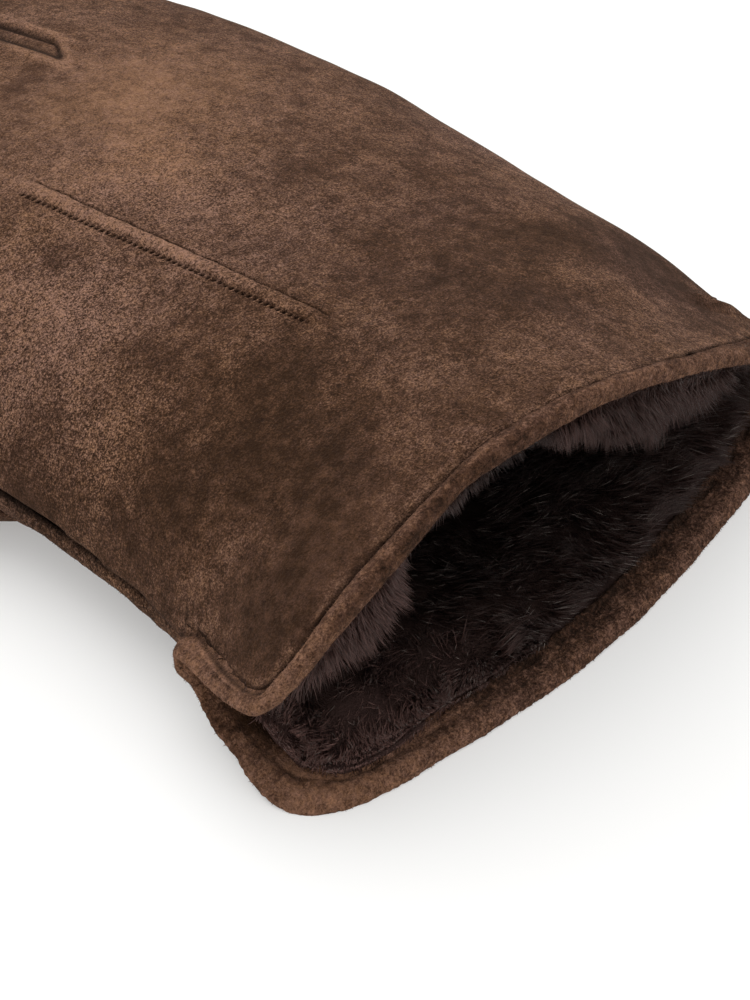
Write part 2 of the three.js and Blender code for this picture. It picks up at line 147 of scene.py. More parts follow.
def section_at(y):
    """Every column of the hand's table, read smoothly at y."""
    last = len(HAND) - 2
    i = np.clip(np.searchsorted(STOPS, y) - 1, 0, last)
    before = np.maximum(i - 1, 0)
    after = np.minimum(i + 2, last + 1)
    span = STOPS[i + 1] - STOPS[i]
    start, leaving, end, arriving = curve_weights(np.clip((y - STOPS[i]) / span, 0, 1))
    read = {}
    for name, column in VALUES.items():
        slope_in = (column[i + 1] - column[before]) / (STOPS[i + 1] - STOPS[before]) * span
        slope_out = (column[after] - column[i]) / (STOPS[after] - STOPS[i]) * span
        slope_in = np.where(before == i, 0, slope_in)
        slope_out = np.where(after == i + 1, 0, slope_out)
        read[name] = start * column[i] + leaving * slope_in + end * column[i + 1] + arriving * slope_out
    return read


def hollow_depth(x, y, hollows=(*HOLLOWS, PINCH)):
    depth = np.zeros_like(x)
    for hollow in hollows:
        depth += hollow.depth * spot(x, y, hollow)
    return depth


def hand_point(angle, y, inset=0.0):
    """Points of the hand's skin in the layout; inset moves them inwards."""
    angle, y, inset = np.broadcast_arrays(np.asarray(angle, float), np.asarray(y, float), inset)
    s = section_at(y)
    across = np.cos(np.radians(angle))
    share = np.abs(across)
    to_left = s["crown_x"] - s["left"] - inset
    to_right = s["right"] - inset - s["crown_x"]
    x = s["crown_x"] + across * np.where(across < 0, to_left, to_right)
    full = np.where(across < 0, s["full_left"], s["full_right"])
    soft = CROWN_SOFTNESS * (ROUND_SIDE - np.minimum(full, ROUND_SIDE))
    eased = (np.hypot(share, soft) - soft) / (np.hypot(1, soft) - soft)
    rise = np.maximum(1 - eased**full, 0) ** (1 / full)
    over = SEAM_HEIGHT + (s["crown"] - inset - hollow_depth(x, y) - SEAM_HEIGHT) * rise
    drop = np.maximum(1 - share ** s["under"], 0) ** (1 / s["under"])
    under = SEAM_HEIGHT - (SEAM_HEIGHT + SETTLE - inset) * drop
    under = np.maximum(under, np.maximum(inset, 0))
    z = np.where(np.sin(np.radians(angle)) >= 0, over, under)
    return np.stack([x, y, z], -1)


def back_height(points):
    """Height of the back of the hand, and how far out towards the side seam a point is, from 0 to 1."""
    x, y = points[:, 0], points[:, 1]
    s = section_at(y)
    half = np.where(x < s["crown_x"], s["crown_x"] - s["left"], s["right"] - s["crown_x"])
    out = np.clip((x - s["crown_x"]) / half, -1, 1)
    return hand_point(np.degrees(np.arccos(out)), y)[..., 2], np.abs(out)


def from_skin(points):
    """How far above or below the back's skin points lie."""
    return np.abs(points[:, 2] - back_height(points)[0])


def to_frame(points):
    """Layout millimetres to the frame's metres."""
    return (np.asarray(points) + [LAYOUT_X, LAYOUT_Y, 0]) * MM


def to_layout(points):
    return np.asarray(points) / MM - [LAYOUT_X, LAYOUT_Y, 0]


def edge_loop(count):
    """The free edge of the cuff as evenly spaced angles and y, from the vent's top round and back to it."""
    p = np.array(CUFF_EDGE, float)
    p = np.vstack([2 * p[0] - p[1], p, 2 * p[-1] - p[-2]])
    dense = []
    for i in range(1, len(p) - 2):
        a, b, c, d = p[i - 1:i + 3]
        before, along, after = [math.sqrt(np.linalg.norm(q)) for q in (b - a, c - b, d - c)]
        slope_in = (b - a) / before - (c - a) / (before + along) + (c - b) / along
        slope_out = (c - b) / along - (d - b) / (along + after) + (d - c) / after
        for t in np.arange(0, 1, EDGE_STEP):
            start, leaving, end, arriving = curve_weights(t)
            dense.append(start * b + leaving * slope_in * along + end * c + arriving * slope_out * along)
    dense = np.vstack([dense, p[-2]])
    places = hand_point(dense[:, 0], dense[:, 1])
    length = np.concatenate([[0], np.cumsum(np.linalg.norm(np.diff(places, axis=0), axis=1))])
    want = length[-1] * np.arange(count) / count
    return np.stack([np.interp(want, length, dense[:, k]) for k in (0, 1)], -1)


def behind(loop, distance):
    """The same loop moved over the skin, away from the cuff's edge."""
    moved = loop.copy()
    ahead = np.roll(loop, -1, 0)
    back = np.roll(loop, 1, 0)
    along = unit(hand_point(ahead[:, 0], ahead[:, 1]) - hand_point(back[:, 0], back[:, 1]))
    distance = np.broadcast_to(distance, len(loop))[:, None]
    for _ in range(MOVE_STEPS):
        a, y = moved[:, 0], moved[:, 1]
        by_angle = (hand_point(a + 1, y) - hand_point(a - 1, y)) / 2
        by_y = hand_point(a, y + 1) - hand_point(a, y)
        inwards = unit(np.cross(along, unit(np.cross(by_angle, by_y))))
        a_step = (inwards * by_angle).sum(1) / (by_angle**2).sum(1)
        y_step = (inwards * by_y).sum(1) / (by_y**2).sum(1)
        moved = moved + distance / MOVE_STEPS * np.stack([a_step, y_step], -1)
    return moved


# Making and moving meshes

WALL_EXTRA = 0.5                # a sewn wall is fattened inwards by this before it is evened
BACK_CELL = 1.14                # size of the even cells, before they are divided
PALM_CELL = 1.3
THUMB_CELL = 1.1
STRIP_CELL = 0.9
FACES_OUT = 0.3                 # a normal less upright than this is on a side


def in_scene(name, data):
    """An object of the scene with a mesh, a camera or a light."""
    made = bpy.data.objects.new(name, data)
    bpy.context.scene.collection.objects.link(made)
    return made


def new_piece(name, bm):
    """An object of the shared frame, from a bmesh that it uses up."""
    mesh = bpy.data.meshes.new(name)
    bm.to_mesh(mesh)
    bm.free()
    mesh.shade_smooth()
    return in_scene(name, mesh)


def points_of(bm):
    return np.array([v.co[:] for v in bm.verts])


def move_points(bm, places):
    for v, place in zip(bm.verts, places):
        v.co = place


def formed_grid(columns, rows, form, marks=None):
    """A grid whose points are put where form(u, v) says, with u and v from 0 to 1, and its edges joined.
    What form leaves in marks is kept with the points."""
    bm = bmesh.new()
    bmesh.ops.create_grid(bm, x_segments=columns, y_segments=rows, size=1)
    flat = points_of(bm)
    move_points(bm, to_frame(form((flat[:, 0] + 1) / 2, (flat[:, 1] + 1) / 2)))
    for name, values in (marks or {}).items():
        layer = bm.verts.layers.float.new(name)
        for v, value in zip(bm.verts, values):
            v[layer] = value
    bmesh.ops.remove_doubles(bm, verts=bm.verts, dist=CLOSE)
    bmesh.ops.recalc_face_normals(bm, faces=bm.faces)
    return bm


def read_marks(bm, name):
    layer = bm.verts.layers.float[name]
    return np.array([v[layer] for v in bm.verts])


def soft_noise(points, size, amount, seed=0):
    """Smooth noise of one feature size, in the layout's millimetres."""
    shift = Vector((seed * 17.3, seed * 5.1, seed * 9.7))
    return amount * np.array([noise.noise(Vector(p) / size + shift) for p in points])


def thickened(node, amount):
    """A merged copy of a sewn solid, its wall fattened inwards by an amount."""
    bm = bmesh.new()
    bm.from_mesh(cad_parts[node].data)
    bmesh.ops.remove_doubles(bm, verts=bm.verts, dist=CLOSE)
    bm.normal_update()
    form = BVHTree.FromBMesh(bm)
    for v in bm.verts:
        above = v.co.z - SEAM_HEIGHT * MM
        inner = v.normal.z * above < 0
        on_rim = abs(above) < 2 * GAP * MM
        if inner and not on_rim:
            v.co += v.normal * amount * MM
    return bm, form


def evened(bm, cell):
    """The same closed form in cells of one size."""
    piece = new_piece("evened", bm)
    remesh = piece.modifiers.new("even", "REMESH")
    remesh.mode = "VOXEL"
    remesh.voxel_size = cell * MM
    bpy.context.view_layer.update()
    made = piece.evaluated_get(bpy.context.evaluated_depsgraph_get())
    bm = bmesh.new()
    bm.from_mesh(made.to_mesh())
    made.to_mesh_clear()
    bpy.data.objects.remove(piece)
    return bm


def even_copy(node, cell):
    """An evenly divided, softened copy of a sewn solid, whose outer face keeps the solid's own."""
    bm, form = thickened(node, WALL_EXTRA)
    bm = evened(bm, cell)
    for hold in (0.85, 0.6, 0):
        soften(bm, 3)
        bm.normal_update()
        for v in bm.verts:
            place, normal, _, distance = form.find_nearest(v.co)
            outer = v.normal.z * (v.co.z - SEAM_HEIGHT * MM) > 0 or abs(v.normal.z) < FACES_OUT
            if outer and normal.dot(v.normal) > 0.4 and distance < cell * MM:
                v.co += (place - v.co) * hold
    return bm


def soften(bm, passes):
    for _ in range(passes):
        bmesh.ops.smooth_vert(
            bm, verts=bm.verts, factor=0.5, use_axis_x=True, use_axis_y=True, use_axis_z=True)


def refine(bm, wanted):
    """Divides the faces of a region. wanted(points) marks its points."""
    bm.verts.ensure_lookup_table()
    inside = wanted(to_layout(points_of(bm)))
    bm.verts.index_update()
    edges = [e for e in bm.edges if inside[e.verts[0].index] and inside[e.verts[1].index]]
    bmesh.ops.subdivide_edges(bm, edges=edges, cuts=1, use_grid_fill=True)


def surface_of(bm):
    """Points of the layout and their normals."""
    bm.normal_update()
    return to_layout(points_of(bm)), np.array([v.normal[:] for v in bm.verts])


def write_attribute(piece, name, values):
    attribute = piece.data.attributes.get(name) or piece.data.attributes.new(name, "FLOAT", "POINT")
    attribute.data.foreach_set("value", np.asarray(values, np.float32))


# The tucks

def tuck_place(tuck, points):
    """How far along a tuck a point lies, how far across it, and the tuck's length."""
    along = np.array([tuck.to_x - tuck.from_x, tuck.to_y - tuck.from_y], float)
    length = np.linalg.norm(along)
    along /= length
    dx, dy = points[:, 0] - tuck.from_x, points[:, 1] - tuck.from_y
    return dx * along[0] + dy * along[1], dx * along[1] - dy * along[0], length


# Across the long tuck's line, in millimetres: the sharp fold on its far side, the needle holes on its near
FOLD_AT = 1.5
STITCH_AT = -1.45
STITCH_PITCH = 1.05
STITCH_SLANT = 0.45             # how far a hole leans along the tuck
# A knuckle tuck's channel
CHANNEL_HALF = 2.0
CHANNEL_CORNER = 1.1
CHANNEL_SLANT = 1.25            # how far its closed end leans


def ridge_relief(a, d, length):
    """The long tuck: a raised rib, a sharp fold on its far side, needle holes on its near.
    Gives its height, its painted shade in the fold, along the stitch line and in the needle holes, and how
    much lighter it is: rubbed nap with a painted highlight along the crest, and a painted highlight on the
    lips between the holes."""
    share = np.clip(a / length, 0, 1)
    fade = smooth_between(-4, 4, a) * fade_between(length - 3, length + 2, a)
    middle = 0.1 + 0.25 * share
    rib = fade * np.exp(-np.abs((d - middle) / 1.2) ** 3)
    fold_fade = smooth_between(-5, 2, a) * fade_between(length - 3, length + 1, a)
    wander = 0.12 * np.sin(a * 1.1) + 0.07 * np.sin(a * 2.7 + 1)
    fold = fold_fade * bell(d - FOLD_AT, wander, 0.19 + 0.06 * share)
    stitched = smooth_between(-0.8, 0.2, a) * fade_between(length - 1.8, length - 0.8, a)
    from_holes = d - STITCH_AT
    valley = stitched * bell(from_holes, 0, 0.3)
    slant = (a + STITCH_SLANT * from_holes) % STITCH_PITCH - STITCH_PITCH / 2
    hole = stitched * np.exp(-((slant / 0.27) ** 2) - (from_holes / 0.24) ** 2)
    from_thread = np.abs(slant) - STITCH_PITCH / 2
    between = stitched * np.exp(-((from_thread / 0.15) ** 2) - ((d + 1.5) / 0.45) ** 2)
    height = 0.6 * rib - 0.5 * fold - 0.7 * hole + 0.12 * between
    # painted shade in the fold, along the stitch line and in the needle holes
    dark = np.clip(0.95 * fold + 0.2 * valley * (1 - between) + 1.5 * hole, 0, 1)
    # lighter along the crest, as rubbed nap and a painted highlight, and a painted highlight on the lips
    # between the holes
    rubbed_and_highlit = 0.45 + 1.1 * smooth_between(0.15, 0.7, a / length)
    wear_and_painted_light = rubbed_and_highlit * fade * np.exp(-np.abs((d - middle) / 1.1) ** 4) + between
    return height, dark, wear_and_painted_light


def channel_relief(a, d, length):
    """A knuckle tuck: two deep grooves with a sunken strip between, closed at the cuff end.
    Gives the same three values: painted shade in the grooves and faintly on the strip, and a painted
    highlight on the shoulders and the puckers, strongest round the closed end."""
    fade = fade_between(length - 14, length, a)
    slanted = a - CHANNEL_SLANT * d
    past_end = np.maximum(CHANNEL_CORNER - slanted, 0)
    past_side = np.maximum(np.abs(d) - CHANNEL_HALF + CHANNEL_CORNER, 0)
    beyond = np.hypot(past_end, past_side) - CHANNEL_CORNER
    lower = smooth_between(-0.3, 0.3, -d)
    soft = 0.5 + 0.2 * smooth_between(3, 10, a) * (1 - lower) + 0.5 * lower
    groove = bell(beyond, 0, soft) * fade
    strip = fade_between(-0.5, 0.1, beyond) * fade
    shoulder = bell(beyond, 1.7, 1.1) * fade
    pucker = np.cos(d * 1.5 + 0.8) * np.exp(-(((slanted + 3.5) / 3) ** 2) - (d / 5.5) ** 2)
    height = 0.3 * shoulder - (0.7 - 0.4 * lower) * groove - 0.3 * strip + 0.3 * pucker
    # painted shade in the grooves, and faintly on the sunken strip
    dark = 0.88 * groove + 0.05 * strip
    at_end = bell(slanted, -1, 2.5)
    # the third value is a painted highlight on the shoulders and the puckers, strongest round the closed end
    return height, np.clip(dark, 0, 1), (1 + 0.5 * at_end) * shoulder + 0.4 * pucker


def tuck_relief(points):
    total = np.zeros((3, len(points)))
    for tuck in TUCKS:
        a, d, length = tuck_place(tuck, points)
        relief = ridge_relief if tuck.style == "ridge" else channel_relief
        height, dark, wear_and_painted_light = relief(a, d, length)
        total += [height, np.maximum(dark - total[1], 0), wear_and_painted_light]
    return total


def near_tuck(tucks, reach):
    """A test for points of the back's face within reach of some tucks."""
    def wanted(points):
        near = np.zeros(len(points), bool)
        for tuck in tucks:
            a, d, length = tuck_place(tuck, points)
            near |= (a > -5) & (a < length + 3) & (np.abs(d) < reach)
        return near & (from_skin(points) < 1.2)
    return wanted


# Colour of the nap: soft patches of brushed suede, lighter above 0 and darker below it
Patch = namedtuple("Patch", "x y across along tone")
NAP = [Patch(*row) for row in (
    (8, 100, 30, 34, 0.53), (21, 108, 12, 14, 0.65), (-2, 90, 11, 14, 0.7), (-21, 88, 10, 8, -0.15),
    (-29, 80, 12, 12, 0.6), (-15, 77, 5, 6, -0.4), (-22, 85, 3, 3, -0.5), (13, 74, 10, 10, -0.3),
    (12, 45, 14, 12, -0.45), (8, 31, 11, 7, -0.5), (-29, 42, 13, 11, -0.7), (-26, 62, 8, 6, -0.4),
    (-32, 26, 12, 7, -0.6), (-21, 22, 7, 6, 0.35), (22, 22, 8, 6, 0.4), (-39, 60, 6, 8, 0.35),
    (-43, 42, 9, 10, -0.4), (-44, 64, 6, 12, -0.7), (-50, 21, 8, 8, -0.4), (-41, 20, 9, 8, -0.45),
    (-6, 15, 12, 6, -0.35), (20, 28, 12, 9, -0.4), (42, 34, 9, 12, -0.5), (38, 32, 6, 6, -0.25),
    (27, 40, 7, 6, -0.4), (13, 46, 6, 6, 0.15), (24, 31, 8, 4, 0.35), (34, 84, 14, 12, -0.1),
    # the patch at (59, 66) lightens the far side's edge: painted sheen
    (59, 66, 8, 14, 0.9), (29, 142, 10, 10, 0.4), (4, 124, 9, 6, -0.35),
)]
# Warmth of the colour: golden above 0, mauve below it
WARMTH = [Patch(*row) for row in (
    (14, 108, 22, 24, 0.5), (-30, 42, 20, 18, 0.7), (24, 38, 12, 10, 0.6), (38, 32, 8, 9, -1.1),
    # the patch at (58, 66) turns the far side's edge mauve: the colour of its painted sheen
    (-30, 76, 16, 14, -0.5), (-5, 68, 14, 12, -0.5), (58, 66, 10, 16, -1.0),
)]
# How strongly the nap is curled: above 0 more than elsewhere
CURL = [Patch(*row) for row in (
    (6, 116, 24, 24, -0.5), (30, 108, 14, 20, -0.25), (-27, 80, 14, 14, 0.35),
    (-42, 60, 9, 14, 0.55), (-2, 88, 10, 10, 0.25), (58, 62, 12, 24, 0.9), (24, 28, 16, 14, 0.15),
    (-24, 44, 14, 12, 0.4), (-42, 17, 12, 9, -0.5),
)]


def patchwork(patches, points):
    tone = np.zeros(len(points))
    for patch in patches:
        tone += patch.tone * spot(points[:, 0], points[:, 1], patch)
    return tone


def nap_tone(points):
    """Brightness of the brushed nap at layout points, about -1 to 1."""
    tone = patchwork(NAP, points)
    for size, amount, seed in ((21, 0.3, 1), (8, 0.3, 2), (3.4, 0.4, 3)):
        tone += soft_noise(points, size, amount, seed)
    return tone


def warmth_tone(points):
    return patchwork(WARMTH, points) + soft_noise(points, 10, 0.5, 21)


def write_nap(piece, points, painted_shade, nap, warmth):
    """Keeps with a suede piece what its finish reads: the nap, the warmth, the curl, and the painted shade
    of its folds, grooves and seams.
    """
    write_attribute(piece, "nap", nap)
    write_attribute(piece, "warmth", warmth)
    write_attribute(piece, "curl", np.maximum(1 + patchwork(CURL, points), 0.3))
    write_attribute(piece, "painted_shade", painted_shade)


# The suede pieces

def line_tree(points):
    tree = KDTree(len(points))
    for i, p in enumerate(points):
        tree.insert(Vector(p), i)
    tree.balance()
    return tree


def distances(tree, points):
    return np.array([tree.find(Vector(p))[2] for p in points])


# The binding as it lies: share of the loop, width on the skin, and how far it stands off the hand
BindingPlan = namedtuple("BindingPlan", "share width flare")
BINDING_PLAN = np.array([BindingPlan(*row) for row in (
    (0, 3.0, 1.4), (0.013, 2.2, 1.4), (0.027, 2.1, 1.0), (0.04, 2.2, 0.5), (0.053, 2.2, 0.1),
    (0.067, 2.4, 0), (0.08, 2.4, 0), (0.1, 2.4, 0), (0.12, 2.8, 0), (0.135, 3.0, 0), (0.15, 3.0, 0),
    (0.19, 3.3, 0), (0.215, 3.8, 0), (0.25, 3.2, 0), (0.285, 2.4, 0), (0.32, 2.0, 0), (0.36, 2.3, 0),
    (0.4, 3.5, 0), (0.43, 4.2, 0), (0.85, 4.2, 0), (0.88, 3.6, 0), (0.91, 3.2, 0), (0.94, 3.7, 0.3),
    (0.965, 4.2, 1.1), (0.985, 3.0, 1.4), (1, 3.0, 1.4),
)])


def binding_plan(loop_share, column):
    return np.interp(np.asarray(loop_share) % 1, BINDING_PLAN[:, 0], BINDING_PLAN[:, column])


def binding_rear(loop, beyond):
    """The loop at the rear of the binding and a distance beyond it."""
    width = binding_plan(np.arange(len(loop)) / len(loop), 1)
    return behind(loop, width + beyond)


FACE_DEPTH = 2.6                # points this close under the skin belong to the back's face
PLAIN_IS_DARKER = 0.25          # the nap of the palm, the thumb and the strips, below the back's
DRAWN_REACH = 6                 # how far from the seam the suede follows a narrower binding
OVERLAP = 1.25                  # how far the suede's edge is tucked under the binding's rear
DITCH = 0.1                     # from the binding's rear to the bottom of the groove beside it
LOOP_COUNT = 600
SEWN_LINE = hand_point(*behind(edge_loop(LOOP_COUNT), BAND_WIDTH + GAP / 2).T)
SEAM_LINE = hand_point(*binding_rear(edge_loop(LOOP_COUNT), GAP / 2 - OVERLAP).T)
DRAWN_WAY = SEAM_LINE - SEWN_LINE
SEWN_TREE = line_tree(SEWN_LINE)
DITCH_TREE = line_tree(hand_point(*binding_rear(edge_loop(LOOP_COUNT), DITCH).T))


def drawn_to_edge(points, side):
    """Points near the seam beside the binding, moved towards the edge where the binding is narrower.
    side is 1 for the back and -1 for the palm."""
    first = 0 if side > 0 else LOOP_COUNT // 2
    tree = line_tree(SEWN_LINE[first:first + LOOP_COUNT // 2])
    found = [tree.find(Vector(p)) for p in points]
    nearest = np.array([f[1] for f in found]) + first
    near = bell(np.array([f[2] for f in found]), 0, DRAWN_REACH)
    return points + near[:, None] * DRAWN_WAY[nearest]


def along_fingers(y):
    """The side seam's share of painted shade: less along the fingers."""
    return 1 - 0.6 * smooth_between(165, 185, y)


# painted shade in the side seam's slit, where the back's edge overhangs the palm
def painted_side_seam_shade(points):
    return fade_between(0.1, 0.9, np.abs(points[:, 2] - SEAM_HEIGHT)) * along_fingers(points[:, 1])


def close_side_seam(points, side):
    """Brings the rims of the back and the palm together at the side seam. The palm's is just inside."""
    rim = fade_between(0.2, 1.4, np.abs(points[:, 2] - SEAM_HEIGHT))
    if side > 0:
        points[:, 2] -= 0.45 * rim
        return points
    s = section_at(points[:, 1])
    points[:, 2] += 0.95 * rim
    points[:, 0] -= 0.25 * rim * np.sign(points[:, 0] - s["crown_x"])
    return points


FOLD = ((43.5, 27.2), (55, 24))     # x and y of its two ends


def fold_relief(points):
    """The fold that runs from the pinched edge to the binding."""
    x, y = points[:, 0], points[:, 1]
    (x0, y0), (x1, y1) = FOLD
    length = math.hypot(x1 - x0, y1 - y0)
    along = ((x - x0) * (x1 - x0) + (y - y0) * (y1 - y0)) / length
    across = ((x - x0) * (y1 - y0) - (y - y0) * (x1 - x0)) / length
    there = smooth_between(-3, 2, along) * fade_between(length - 2, length + 3, along)
    return 0.7 * there * (bell(across, 0, 0.9) - 0.7 * bell(across, 2, 1.1))


def pinched(points):
    """The sewn form of the back, pressed in where the photograph's cuff is."""
    s = section_at(points[:, 1])
    rise = np.clip((points[:, 2] - SEAM_HEIGHT) / (s["crown"] - SEAM_HEIGHT), 0, 1)
    points[:, 2] -= hollow_depth(points[:, 0], points[:, 1], (PINCH,)) * rise
    return points


def near_seam(reach):
    """A test for points of the back's face within reach of the seam beside the binding."""
    def wanted(points):
        return (distances(SEWN_TREE, points) < reach) & (from_skin(points) < 0.8)
    return wanted


def lay_on_skin(bm):
    """Puts the back's face on the hand's skin, as far as the knuckles and clear of the side seams."""
    points, normals = surface_of(bm)
    points = pinched(points)
    top, out = back_height(points)
    outer = (normals[:, 2] > 0.2) & (np.abs(points[:, 2] - top) < FACE_DEPTH) & (points[:, 1] < 178)
    hold = fade_between(0.86, 0.97, out) * fade_between(168, 176, points[:, 1]) * outer
    points[:, 2] += hold * (top - points[:, 2])
    move_points(bm, to_frame(points))


def make_back():
    bm = even_copy("back_panel", BACK_CELL)
    lay_on_skin(bm)
    refine(bm, near_tuck(TUCKS, 3.8))
    refine(bm, near_tuck(TUCKS[:2], 3.4))
    refine(bm, near_tuck(TUCKS[:1], 2.2))
    refine(bm, near_seam(2.4))
    refine(bm, near_seam(1.6))
    points, normals = surface_of(bm)
    top, out = back_height(points)
    face = (normals[:, 2] > 0.1) & (np.abs(points[:, 2] - top) < FACE_DEPTH)
    relief, dark, wear_and_painted_light = tuck_relief(points)
    points = drawn_to_edge(points, 1)
    near_cuff = distances(DITCH_TREE, points)
    edge_dip = 0.5 * bell(near_cuff, 0, 0.45) + 0.25 * bell(near_cuff, 0, 1.6)
    ripple = soft_noise(points, 22, 0.45, 4) + soft_noise(points, 8, 0.18, 5)
    pucker = soft_noise(points, 2.6, 0.22, 22) * bell(near_cuff, 0, 2.5)
    relief += fold_relief(points)
    move = (relief - edge_dip + (ripple + pucker) * fade_between(0.9, 1, out)) * face
    points += normals * move[:, None]
    points = close_side_seam(points, 1)
    move_points(bm, to_frame(points))
    piece = new_piece("back_suede", bm)
    # painted shade along the ditch between the back and the binding
    painted_ditch_shade = 0.98 * bell(near_cuff, 0, 0.72)
    dark = np.maximum(dark * face, painted_ditch_shade)
    # a light line along the suede's lip beside the ditch: painted highlight
    wear_and_painted_light += 0.7 * bell(near_cuff, 1.1, 0.35)
    painted_shade = np.maximum(dark, 0.6 * painted_side_seam_shade(points))
    write_nap(piece, points, painted_shade, nap_tone(points) + wear_and_painted_light * face, warmth_tone(points))
    return piece


def make_plain_suede(node, name, cell, is_palm=False):
    """The palm, the thumb or a strip between two fingers. The palm's rims close against the back's."""
    bm = even_copy(node, cell)
    points, normals = surface_of(bm)
    lift = smooth_between(0.6, 3, points[:, 2])
    ripple = soft_noise(points, 14, 0.35, 6) + soft_noise(points, 5, 0.15, 7)
    painted_shade, seam_strip = np.zeros((2, len(points)))
    if is_palm:
        points = close_side_seam(drawn_to_edge(points, -1), -1)
        ripple += soft_noise(points, 2.2, 0.3, 23) * smooth_between(4, 9, points[:, 2])
        # painted shade on the palm's rim, under the back's overhanging edge
        painted_shade = 0.85 * smooth_between(10.9, 11.8, points[:, 2]) * along_fingers(points[:, 1])
        seam_strip = smooth_between(5.5, 8, points[:, 2]) * (points[:, 1] < 130)
    points += normals * (ripple * lift)[:, None]
    points[:, 2] = np.maximum(points[:, 2], 0)
    move_points(bm, to_frame(points))
    piece = new_piece(name, bm)
    # painted shade in the groove beside the binding
    painted_shade = np.maximum(painted_shade, 0.75 * bell(distances(DITCH_TREE, points), 0, 0.8))
    nap = nap_tone(points) + (0.6 * seam_strip - PLAIN_IS_DARKER)
    write_nap(piece, points, painted_shade, nap, warmth_tone(points))
    if is_palm:
        write_attribute(piece, "crumb", 0.6 * seam_strip)
    return piece


# The rolled binding

# Its section: share of its width from the edge, and depth under the suede's face in millimetres
ROLL_BACK = np.array([
    (0.00, 0.60), (0.03, 0.00), (0.12, -0.50), (0.34, -0.78), (0.60, -0.72), (0.82, -0.55), (0.93, -0.30),
    (0.98, 0.30), (1.10, 0.90), (1.24, 1.20), (1.24, 1.50), (0.92, 1.85), (0.50, 1.95), (0.12, 1.80),
    (0.00, 1.25),
])
ROLL_PALM = np.array([
    (0.00, 0.80), (0.03, 0.10), (0.12, -0.40), (0.34, -0.60), (0.60, -0.60), (0.82, -0.40), (0.93, -0.10),
    (0.98, 0.30), (1.08, 0.90), (1.26, 1.30), (1.30, 2.40), (1.16, 2.85), (0.93, 2.40), (0.62, 2.40),
    (0.20, 2.30),
])
BAND_COLUMNS = 1150
BAND_ROWS = 54
HOLE_COLUMNS = 4.5              # from one needle hole to the next
VENT_SHARE = 0.085              # of the loop, from the vent's top to the corner
VENT_X = -54                    # middle of the vent's lit edge

# Soft spots along the loop: where, how far they reach and how strong they are
LoopSpot = namedtuple("LoopSpot", "share reach amount")
TRIMMED_BACK = LoopSpot(0.2, 0.03, 1.3)         # millimetres cut off the edge
TRIMMED_PALM = LoopSpot(0.962, 0.024, 2.6)
THIN_BACK = LoopSpot(0.2, 0.03, 0.3)            # share of the depth that is missing
THIN_PALM = LoopSpot(0.96, 0.025, 0.2)
NEAR_CORNER = LoopSpot(0.905, 0.03, 0.25)       # lighter and less crumbly
BULB_SHADOW = LoopSpot(0.965, 0.025, 0.5)       # darker


def round_table(table, t):
    """A closed table of points read smoothly at t, from 0 to 1 round it."""
    n = len(table)
    place = np.asarray(t) % 1 * n
    i = np.floor(place).astype(int)
    f = (place - i)[..., None]
    a, b, c, d = [table[(i + k) % n] for k in (-1, 0, 1, 2)]
    return b + 0.5 * f * (c - a + f * (2 * a - 5 * b + 4 * c - d + f * (3 * (b - c) + d - a)))


def loop_spot(place, u):
    """How strong a soft spot of the loop is at u."""
    return place.amount * bell(u, place.share, place.reach)


def roll_section(u, v, palm):
    """Share of the strip's width, and depth under the skin, at v round its section."""
    back_share, back_inset = round_table(ROLL_BACK, v).T
    palm_share, palm_inset = round_table(ROLL_PALM, v).T
    palm_inset = palm_inset * (1 - loop_spot(THIN_PALM, u))
    share = back_share + (palm_share - back_share) * palm
    inset = back_inset + (palm_inset - back_inset) * palm
    return share, np.where(inset > 0.5, inset * (1 - loop_spot(THIN_BACK, u)), inset)


def roll_swell(u, share, palm, on_face):
    """How far the strip stands off the hand: fullest at the vent's top."""
    near_top = bell(np.minimum(u, 1 - u), 0, 0.018)
    near_end = np.where(u < 0.5, near_top, bell(1 - u, 0, 0.006))
    across = np.clip(share, 0, 1)
    swell = (0.9 * near_end + 0.25 * (1 - palm)) * on_face * np.sin(np.pi * across)
    return swell + binding_plan(u, 2) * (1 - across**2)


def vent_seam(u, share, on_face):
    """The seam beside the vent: its ridge, its groove and its needle holes."""
    vent = fade_between(0.5 * VENT_SHARE, 0.8 * VENT_SHARE, u) * smooth_between(0.002, 0.012, u) * on_face
    ridge = bell(share, 0.95, 0.06) * vent
    groove = bell(share, 0.82, 0.045) * vent
    hole = groove * (np.cos(2 * np.pi * u * BAND_COLUMNS / HOLE_COLUMNS) > 0.2)
    return ridge, groove, hole


def raw_inner_edge(u, v, palm):
    """The strip's raw edge inside the mouth: its light rim, and the broken gap where it is tucked in, which
    is painted dark as shade.
    """
    broken = np.clip(0.55 + soft_noise(np.stack([u * 70, 0 * u, 0 * u], -1), 1, 1.6, 33), 0, 1)
    raw = smooth_between(0.79, 0.83, u) * fade_between(0.93, 0.95, u)
    rim = bell(v, 0.825, 0.016) * palm * raw
    tucked = bell(v, 0.79 + 0.065 * raw, 0.013) * palm * broken * fade_between(0.92, 0.95, u)
    return rim, tucked


